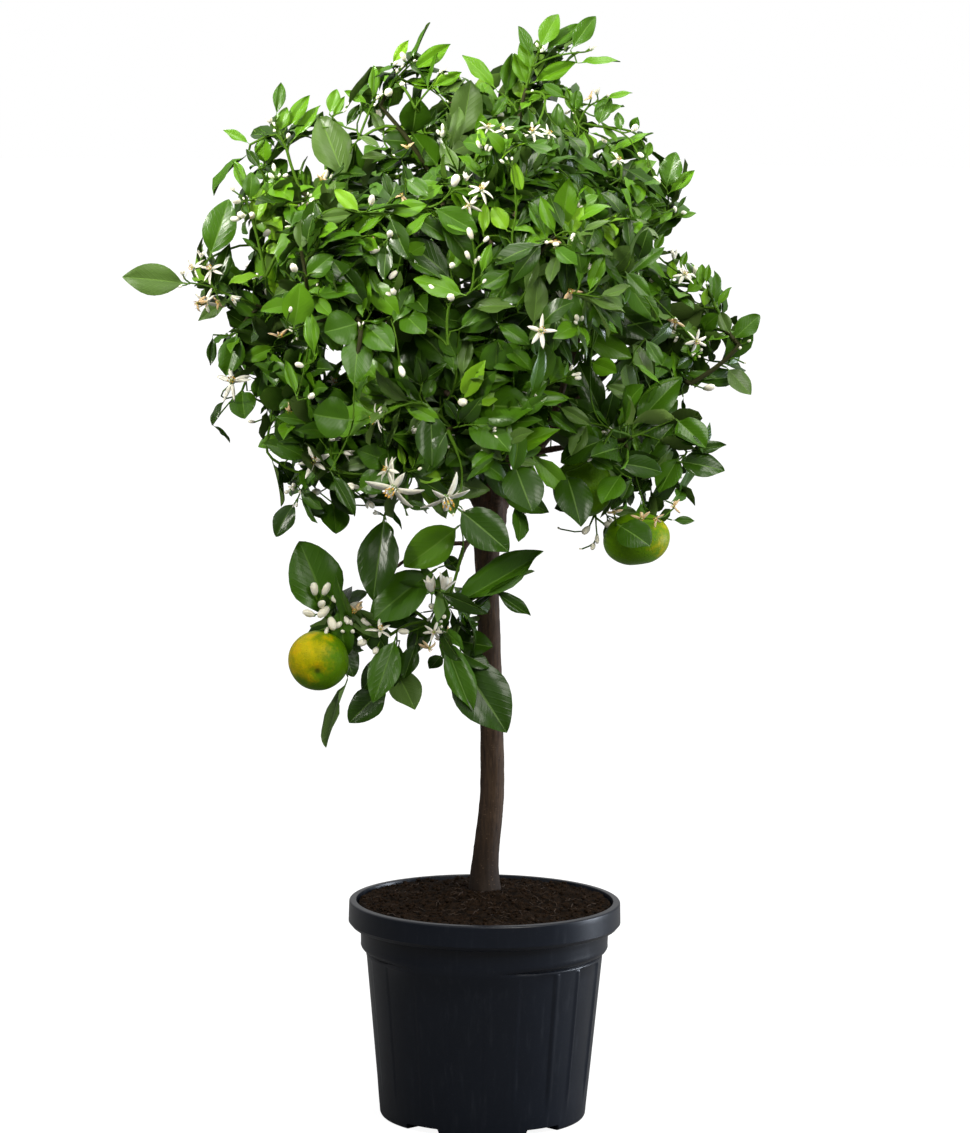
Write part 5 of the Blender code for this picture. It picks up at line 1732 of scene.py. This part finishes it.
    def cluster(self, spot, heading, count, size):
        """Buds on short stalks round the end of a shoot."""
        rng = self.rng
        for number in range(count):
            away = any_way(rng)
            lean = (heading + away * 0.8 + UPWARD * 0.25).normalized()
            stalk = rng.uniform(0.003, 0.007)
            end = spot + lean * stalk
            self.lines.append(([spot, spot.lerp(end, 0.5) + away * 0.0006, end], [0.00055] * 3, "green"))
            self.buds.append((end, lean, size * rng.uniform(0.55, 1.05), "bud"))

    def make_lines(self):
        """Tapering twigs along every chain: woody where they carry much, green at their ends."""
        for skeleton in self.skeletons.values():
            radii = skeleton.radii(self.tip_radius)
            for chain in skeleton.chains:
                points = [skeleton.points[number] for number in chain]
                thick = [radii[number] for number in chain]
                thick[0] = min(thick[0], thick[1] * 1.25)
                woody = [part > self.tip_radius * WOODY_FROM for part in thick]
                switch = next((place for place, wood in enumerate(woody) if not wood), len(chain) - 1)
                if switch > 0:
                    self.lines.append((points[:switch + 1], thick[:switch + 1], "wood"))
                if switch < len(chain) - 1:
                    self.lines.append((points[switch:], thick[switch:], "green"))


@functools.cache
def plant():
    """The grown plant, made at its first use."""
    return Plant(look("leaves"), look("twigs").tip)


# ======== Twigs ========
class CITRUS_OT_twigs(Step, bpy.types.Operator):
    """Woody twigs and green shoots that carry the leaves, blossom and fruit"""
    bl_idname = "citrus.twigs"
    bl_label = "Twigs"

    def execute(self, context):
        settings = look("twigs")
        for kind, colour, sides, slot in (("wood", settings.wood, 6, "bark"),
                                          ("green", settings.green, 5, "leaf")):
            lines = [(points, radii) for points, radii, sort in plant().lines if sort == kind]
            material = grained_paint("twig_" + kind, colour, (0.72, 1.28), (240.0, 1700.0), (0.35, 0.0003),
                                     Roughness=0.62, Specular_IOR_Level=0.12)
            settle(tubes("twigs_" + kind, lines, sides, material), slot)
        return {"FINISHED"}


# ======== Leaves ========
STALK = 0.115  # share of a leaf's length that is its stalk
STALK_WIDTH = 0.055  # of the blade's widest
OUTLINES = {"lance": (0.97, 1.08), "ellipse": (0.94, 0.86), "broad": (0.88, 0.76), "round": (0.92, 0.62)}
# Plain shapes are repeated hundreds of times, fine ones stand in the placed sprays.
PLAIN = {"stations": (0.0, 0.1, 0.155, 0.27, 0.43, 0.6, 0.77, 0.91, 1.0),
         "across": (-1.0, -0.52, -0.055, 0.055, 0.52, 1.0), "under": (0.0,), "calm": 1.0}
FINE = {"stations": (0.0, 0.05, 0.105, 0.13, 0.17, 0.23, 0.31, 0.4, 0.5, 0.6, 0.7, 0.79, 0.87, 0.93,
                     0.97, 1.0),
        "across": (-1.0, -0.74, -0.4, -0.042, 0.042, 0.4, 0.74, 1.0), "under": (-0.74, 0.0, 0.74),
        "calm": 0.45}
BLADE, RIB, UNDERSIDE = 0, 1, 2
LEAVES_IN_A_PIECE = 1750


def half_width(family, t):
    """Half width of a stalked blade, 1 at its widest. The outline is a sine, leant and filled out."""
    lean, full = OUTLINES[family]
    part = min(max((t - STALK) / (1.0 - STALK), 0.0), 1.0)
    return max(sin(pi * part ** lean) ** full if 0.0 < part < 1.0 else 0.0, STALK_WIDTH)


class Bend:
    """How one leaf shape is folded, bowed, twisted and waved."""

    def __init__(self, family, variant, calm):
        rng = random.Random(101 + 10 * FAMILIES.index(family) + variant)
        self.family = family
        self.fold = rng.uniform(0.16, 0.42)
        self.bow = rng.uniform(0.05, 0.16) * (1 if variant != 3 else -0.4) * calm
        self.late = rng.uniform(0.8, 1.5)
        self.twist = rng.uniform(-0.5, 0.5) * calm
        self.wave = rng.uniform(0.008, 0.026)
        self.phase = rng.uniform(0.0, tau)
        self.sweep = rng.uniform(-0.1, 0.1) * calm

    def point(self, t, u, under):
        half = half_width(self.family, t) / 2
        blade = smoothstep((t - 0.1) / 0.15)
        x = u * half
        z = self.bow * 4 * t ** self.late * (1 - t)
        z += blade * (self.fold * abs(x) * 1.3 - self.fold * 1.1 * x * x * 2)
        z += self.wave * blade * u * u * sin(t * 15.0 + self.phase + (1.9 if u > 0 else 0.0))
        turn = self.twist * (t - 0.2) * blade
        z += x * sin(turn)
        x = x * cos(turn) + self.sweep * 2 * t * (1 - t)
        if abs(u) < 0.1 and not under:
            z -= 0.005 * blade
        if under:
            z -= (0.018 - 0.01 * t) if u == 0.0 else 0.006 * blade
        return (x, t, z)


def leaf_shape(family, variant, grade):
    """Closed blade with its stalk: unit length along Y from foot to tip, unit width along X."""
    bend = Bend(family, variant, grade["calm"])
    stations, across, under = grade["stations"], grade["across"], grade["under"]
    rim = [(u, False) for u in across] + [(u, True) for u in reversed(under)]
    verts, faces, parts, sharp, rows = [], [], [], [], []
    for t in stations:
        if t in (0.0, 1.0):
            rows.append([len(verts)] * len(rim))
            verts.append((0.0, t, 0.0))
            continue
        rows.append(list(range(len(verts), len(verts) + len(rim))))
        verts.extend(bend.point(t, u, below) for u, below in rim)
    middle = len(across) // 2 - 1
    for station, (low, high) in enumerate(zip(rows, rows[1:])):
        stalk = stations[station + 1] < STALK + 0.02
        for column in range(len(rim)):
            beside = (column + 1) % len(rim)
            top = column < len(across) - 1
            corners = (low[column], low[beside], high[beside], high[column])
            faces.append(list(dict.fromkeys(corners if top else corners[1:] + corners[:1])))
            parts.append(RIB if stalk or column == middle else BLADE if top else UNDERSIDE)
        for column in (0, len(across) - 1):
            sharp.append((low[column], high[column]))
    obj = shape_object("leaf_%s_%d" % (family, variant), verts, faces, parts, sharp)
    blade_map = obj.data.uv_layers.new(name="blade")
    spots = [part for loop in obj.data.loops
             for part in (obj.data.vertices[loop.vertex_index].co.x + 0.5,
                          obj.data.vertices[loop.vertex_index].co.y)]
    blade_map.data.foreach_set("uv", spots)
    return obj


def blade_paint(name, colour, gloss, under):
    """Leaf blade: one plain colour, with side veins raised across its map."""
    paint = Paint(name)
    map_spot = paint.add("ShaderNodeUVMap", {"uv_map": "blade"})
    split = paint.axis(map_spot, "X")
    along = paint.axis(map_spot, "Y")
    aside = paint.maths("ABSOLUTE", split - 0.5)
    wave = paint.maths("SINE", (along - aside * 0.75) * 62.0)
    vein = wave.over(0.55, 1.0)
    cells = paint.noise(750.0)
    height = vein * 0.5 + cells * 0.22
    return paint.finish(Base_Color=colour, Roughness=gloss, Specular_IOR_Level=0.06 if under else 0.24,
                        Normal=paint.bump(height, 0.3, 0.0005))


def leaf_paints(tone, settings):
    colour = tuple(getattr(settings, tone))
    pale = tuple(0.72 * part + 0.28 * other for part, other in zip(colour, linear(120, 160, 60)))
    dull = tuple(0.62 * part + 0.38 * other for part, other in zip(colour, linear(110, 132, 70)))
    gloss = {YOUNG: 0.34, FRESH: 0.31, MID: 0.29, DARK: 0.26, SHEEN_GREY: 0.34}[tone]
    return [blade_paint("leaf_" + tone, colour, gloss, False),
            blade_paint("leaf_rib_" + tone, pale, 0.5, False),
            blade_paint("leaf_underside_" + tone, dull, 0.62, True)]


class CITRUS_OT_leaves(Step, bpy.types.Operator):
    """Leaves of every tone, each tone a piece of its own"""
    bl_idname = "citrus.leaves"
    bl_label = "Leaves"

    def execute(self, context):
        settings = look("leaves")
        shapes = [leaf_shape(family, variant, grade) for grade in (PLAIN, FINE)
                  for family in FAMILIES for variant in range(VARIANTS)]
        collection = shape_collection("leaf_shapes", shapes)
        rng = random.Random(settings.seed + 1)
        replaced = list(MASSES)
        placed_leaves = set(map(id, plant().leaves[:plant().placed_count]))
        for tone in TONES:
            materials = leaf_paints(tone, settings)
            places = Places()
            for leaf in plant().leaves:
                number = FAMILIES.index(leaf.family) * VARIANTS + rng.randrange(VARIANTS)
                if id(leaf) in placed_leaves:
                    number += len(FAMILIES) * VARIANTS
                if leaf.tone != tone:
                    continue
                length = (leaf.tip - leaf.foot).length
                across = leaf.along.cross(leaf.face).normalized()
                places.add(leaf.foot, [across, leaf.along, leaf.face], (leaf.width, length, length), number)
            for number, start in enumerate(range(0, len(places.rows), LEAVES_IN_A_PIECE), 1):
                name = "leaves_%s_%d" % (tone, number)
                leaves = places.make(name, collection, materials, start, LEAVES_IN_A_PIECE)
                settle(leaves, "leaf", *replaced)
                replaced = []
        drop_collection(collection)
        return {"FINISHED"}


# ======== Blossom ========
def petal_rows(length, width, curl, lean):
    """(along, half width, lean) of a strap petal's cross-sections, broad in the middle."""
    rows = []
    for part in (0.0, 0.16, 0.38, 0.62, 0.84, 1.0):
        belly = 0.45 + 0.62 * sin(pi * min(part * 0.92 + 0.06, 1.0))
        half = width * belly * (1.0 - 0.45 * part ** 3)
        rows.append((part * length, half if part < 1.0 else 0.25 * half, lean + curl * part))
    return rows


class Flower:
    """Open blossom of unit size along +Z: strap petals, stamens, a style and a calyx."""

    def __init__(self, name, leans, curl, width, seed):
        calyx = [(0.0, -0.14), (0.08, -0.12), (0.14, -0.02), (0.12, 0.05), (0.0, 0.06)]
        style = [(0.0, 0.0), (0.05, 0.05), (0.03, 0.22), (0.07, 0.28), (0.0, 0.33)]
        self.verts, self.faces, self.parts = joined(((calyx, 7, 2), (style, 6, 3)))
        rng = random.Random(seed)
        for number, lean in enumerate(leans):
            angle = tau * number / max(len(leans), 5) + rng.uniform(-0.36, 0.36)
            rows = petal_rows(rng.uniform(0.74, 1.0), width * rng.uniform(0.75, 1.15),
                              curl * rng.uniform(0.2, 1.9), lean + rng.uniform(-0.2, 0.2))
            self.strip(angle, rows, 0.07, 0.0, 0.34, 0)
        for number in range(8):
            angle = tau * number / 8
            lean = rng.uniform(0.1, 0.34)
            tall = rng.uniform(0.2, 0.3)
            self.strip(angle, [(0.0, 0.03, lean), (tall, 0.022, lean)], 0.08, 0.0, 0.0, 0)
            far, up = 0.08 + sin(lean) * tall, cos(lean) * tall
            head = [(0.0, 0.02, lean), (0.04, 0.042, lean), (0.1, 0.036, lean), (0.13, 0.012, lean)]
            self.strip(angle, head, far, up, 0.0, 1)
        self.shape = shape_object(name, self.verts, self.faces, self.parts)

    def strip(self, angle, rows, far, up, cup, part):
        """Adds a tapering strap that leans outwards from the axis."""
        out = Vector((cos(angle), sin(angle), 0.0))
        side = Vector((-sin(angle), cos(angle), 0.0))
        spot, before, grid = out * far + UPWARD * up, 0.0, []
        for along, half, lean in rows:
            spot = spot + (out * sin(lean) + UPWARD * cos(lean)) * (along - before)
            before = along
            inward = UPWARD * sin(lean) - out * cos(lean)
            corners = [spot + side * (u * half) + inward * (cup * half * abs(u)) for u in (-1.0, 0.0, 1.0)]
            corners.append(spot - inward * 0.035)
            grid.append(list(range(len(self.verts), len(self.verts) + 4)))
            self.verts.extend(tuple(corner) for corner in corners)
        for low, high in zip(grid, grid[1:]):
            for first in range(4):
                second = (first + 1) % 4
                self.faces.append([low[first], low[second], high[second], high[first]])
                self.parts.append(part)
        self.faces.append(grid[0][::-1])
        self.faces.append(grid[-1])
        self.parts.extend((part, part))


def joined(bodies):
    """Vertices, faces and part numbers of turned bodies: (outline, steps, part) each."""
    verts, faces, parts = [], [], []
    for outline, steps, part in bodies:
        more, rings = turned(outline, steps)
        faces.extend([number + len(verts) for number in face] for face in rings)
        verts.extend(more)
        parts.extend([part] * len(rings))
    return verts, faces, parts


# Lean of each petal from the axis, curl towards the tip and half width of a petal.
FLOWER_KINDS = {"star": ((1.15, 1.3, 1.05, 1.4, 1.2), 0.25, 0.135),
                "torn": ((0.9, 1.5, 1.2, 1.7, 1.35, 1.9), 0.6, 0.12),
                "cup": ((0.3, 0.42, 0.25, 0.5, 0.35), 0.1, 0.21),
                "spent": ((0.8, 1.5, 1.1), 1.1, 0.14)}


def bud_shape(name, plump):
    """Closed bud of unit length along +Z on a small green calyx."""
    calyx = [(0.0, -0.1), (0.13, -0.06), (0.16, 0.06), (0.0, 0.1)]
    body = [(wide * plump, high) for wide, high in
            ((0.0, 0.0), (0.16, 0.05), (0.27, 0.3), (0.3, 0.62), (0.19, 0.9), (0.0, 1.0))]
    verts, faces, parts = joined(((calyx, 5, 1), (body, 8, 0)))
    for number, (x, y, z) in enumerate(verts):
        groove = 1.0 - 0.1 * (0.5 + 0.5 * cos(5 * atan2(y, x))) * smoothstep(z * 2)
        verts[number] = (x * groove, y * groove, z)
    return shape_object(name, verts, faces, parts)


def petal_paint(name, colour, rough, soft=0.0):
    return grained_paint(name, colour, (0.86, 1.0), (420.0, 1500.0), (0.3, 0.0003), Roughness=rough,
                         Specular_IOR_Level=0.2, Subsurface_Weight=soft, Subsurface_Scale=0.003,
                         Subsurface_Radius=(1.0, 0.95, 0.85))


def upright(lean, rng):
    """Axes whose z follows a direction, turned at random about it."""
    side = lean.orthogonal().normalized()
    other = lean.cross(side)
    angle = rng.uniform(0.0, tau)
    first = side * cos(angle) + other * sin(angle)
    return [first, lean.cross(first), lean]


def add_buds(settings, materials):
    shapes = [bud_shape("bud_%d" % number, plump) for number, plump in enumerate((0.85, 1.0, 1.15))]
    places, rng = Places(), random.Random(51)
    for spot, lean, size, _ in plant().buds:
        length = settings.bud * size
        places.add(spot, upright(lean, rng), (length, length, length), rng.randrange(3))
    settle(scattered("buds", shapes, places, materials), "leaf")


def add_flowers(name, kinds, materials):
    shapes = [Flower("%s_%d" % (kind, number), *FLOWER_KINDS[kind], 70 + number).shape
              for kind in kinds for number in range(3)]
    places, rng = Places(), random.Random(52)
    for spot, lean, reach, kind in plant().flowers:
        if kind in kinds:
            places.add(spot, upright(lean, rng), (reach, reach, reach),
                       kinds.index(kind) * 3 + rng.randrange(3))
    settle(scattered(name, shapes, places, materials), "leaf")


class CITRUS_OT_blossom(Step, bpy.types.Operator):
    """Buds, open blossom and faded blossom"""
    bl_idname = "citrus.blossom"
    bl_label = "Blossom"

    def execute(self, context):
        settings = look("blossom")
        white = petal_paint("petal", settings.white, 0.5, 0.35)
        calyx = petal_paint("calyx", linear(104, 142, 62), 0.55)
        stamens = petal_paint("stamen", settings.stamen, 0.7)
        faded = petal_paint("faded_petal", settings.spent, 0.8, 0.4)
        style = petal_paint("style", linear(196, 206, 120), 0.5)
        add_buds(settings, [white, calyx])
        add_flowers("open_blossom", ("star", "torn", "cup"), [white, stamens, calyx, style])
        add_flowers("faded_blossom", ("spent",), [faded, stamens, calyx, style])
        return {"FINISHED"}


# ======== Fruit ========
NAVEL = 0.89  # how far the ends of a fruit reach, of half its height


class CITRUS_OT_fruit(Step, bpy.types.Operator):
    """Ripening fruit with their pored rind; a twig ends at the top of each as its stalk"""
    bl_idname = "citrus.fruit"
    bl_label = "Fruit"
    # The second fruit's share is kept low partly as painted shade, so that it comes out greener and darker.
    RIPENESS = (0.24, -0.03, -0.4)  # share of each rind that has turned yellow
    TILT = (-1.3, -0.2, -0.3)  # of the stalk's end away from the front
    SUN = ((-0.6, -0.7, 0.4), (0.95, -0.3, -0.1), (0.6, -0.6, 0.5))

    def execute(self, context):
        settings = look("fruit")
        for number, (spot, half) in enumerate(plant().fruits):
            fruit = self.body(spot, half, number)
            fruit.data.materials.append(self.paint(settings, spot, half, number))
            settle(fruit, "leaf")
        return {"FINISHED"}

    def body(self, spot, half, number):
        """Round fruit, a little flat, with a dimple at each end that leans to the front."""
        rng = random.Random(61 + number)
        wide, high = half
        outline = [(0.0, -NAVEL * high)]
        for step in range(1, 40):
            angle = pi * step / 40
            dent = (1.0 - NAVEL) * exp(-(min(angle, pi - angle) / 0.19) ** 2)
            outline.append((wide * sin(angle) ** 0.95, -high * (1.0 - dent) * cos(angle)))
        outline.append((0.0, NAVEL * high))
        shift = rng.uniform(0.0, 9.0)

        def shape(around, height, angle):
            place = Vector((cos(angle) * around, sin(angle) * around, height))
            lumps = noise.noise(place * 55.0 + Vector((shift, 0.0, 0.0)))
            rib = 0.01 * cos(9 * angle) * smoothstep((height / high - 0.4) / 0.4)
            return around * (1.0 + 0.022 * lumps + rib), height

        fruit = mesh_object("fruit_%d" % number, *turned(outline, 80, shape))
        tilt = Matrix.Rotation(self.TILT[number], 4, "X") @ Matrix.Rotation(rng.uniform(-0.2, 0.2), 4, "Y")
        fruit.data.transform(Matrix.Translation(spot) @ tilt)
        return fruit

    def paint(self, settings, spot, half, number):
        """Green rind that turns yellow on its sunny side, in patches, with darker oil pores."""
        paint = Paint("rind_%d" % number)
        sun = Vector(self.SUN[number]).normalized()
        centred = paint.vector("SUBTRACT", {0: paint.place, 1: tuple(spot)})
        toward = paint.vector("DOT_PRODUCT", {0: centred, 1: tuple(sun)}, "Value")
        blotch = paint.noise(95.0, 4.0, 0.65)
        mottle = paint.noise(420.0, 3.0, 0.7)
        pores = paint.add("ShaderNodeTexVoronoi", None, {"Vector": paint.place, "Scale": 560.0}, "Distance")
        dimple = pores.over(0.0, 0.42)
        share = toward * (1.0 / half[0]) + (blotch - 0.5) * 1.3 + (mottle - 0.5) * 0.5
        level = 1.0 - 1.6 * self.RIPENESS[number]
        ripe = share.over(level - 0.45, level + 0.55)
        rind = paint.mix(ripe, settings.green, settings.ripe)
        warm = paint.mix(ripe * blotch.over(0.46, 0.66) * 0.4, rind, linear(226, 158, 4))
        shaded = paint.mix(0.22 * (1.0 - dimple) + 0.22 * mottle.over(0.35, 0.6), warm,
                           scaled(settings.green, 0.5))
        # Painted shade: the rind darkens round the navel, as shade in its dimple.
        pole = Vector((0.0, sin(self.TILT[number]), -cos(self.TILT[number])))
        navel = tuple(spot + pole * half[1] * NAVEL)
        away = paint.vector("DISTANCE", {0: paint.place, 1: navel}, "Value")
        shaded = paint.mix((1.0 - away.over(0.0008, 0.0036)) * 0.75, shaded, linear(48, 52, 12))
        return paint.finish(Base_Color=shaded, Roughness=0.4 + mottle * 0.12, Specular_IOR_Level=0.1,
                            Normal=paint.bump(dimple + blotch * 0.6, 0.5, 0.0006))


# ======== Add-on ========
class CITRUS_PT_panel(bpy.types.Panel):
    """Settings and steps of the plant"""
    bl_idname = "CITRUS_PT_panel"
    bl_label = "Citrus Standard"
    bl_space_type = "VIEW_3D"
    bl_region_type = "UI"
    bl_category = "Citrus"

    def draw(self, context):
        for step in STEPS:
            self.layout.operator(step.bl_idname)


LOOKS = {"pot": PotLook, "soil": SoilLook, "bark": BarkLook, "twigs": TwigLook, "leaves": LeafLook,
         "blossom": BlossomLook, "fruit": FruitLook, "stage": StageLook}
STEPS = (CITRUS_OT_pot, CITRUS_OT_soil, CITRUS_OT_bark, CITRUS_OT_twigs, CITRUS_OT_leaves,
         CITRUS_OT_blossom, CITRUS_OT_fruit, CITRUS_OT_stage)
CLASSES = (*LOOKS.values(), *STEPS, CITRUS_PT_panel)


def register():
    for cls in CLASSES:
        bpy.utils.register_class(cls)
    for name, cls in LOOKS.items():
        setattr(bpy.types.Scene, "citrus_" + name, bpy.props.PointerProperty(type=cls))


def unregister():
    for name in LOOKS:
        delattr(bpy.types.Scene, "citrus_" + name)
    for cls in reversed(CLASSES):
        bpy.utils.unregister_class(cls)


def main():
    register()
    for step in STEPS:
        group, action = step.bl_idname.split(".")
        getattr(getattr(bpy.ops, group), action)()


if __name__ == "__main__":
    main()
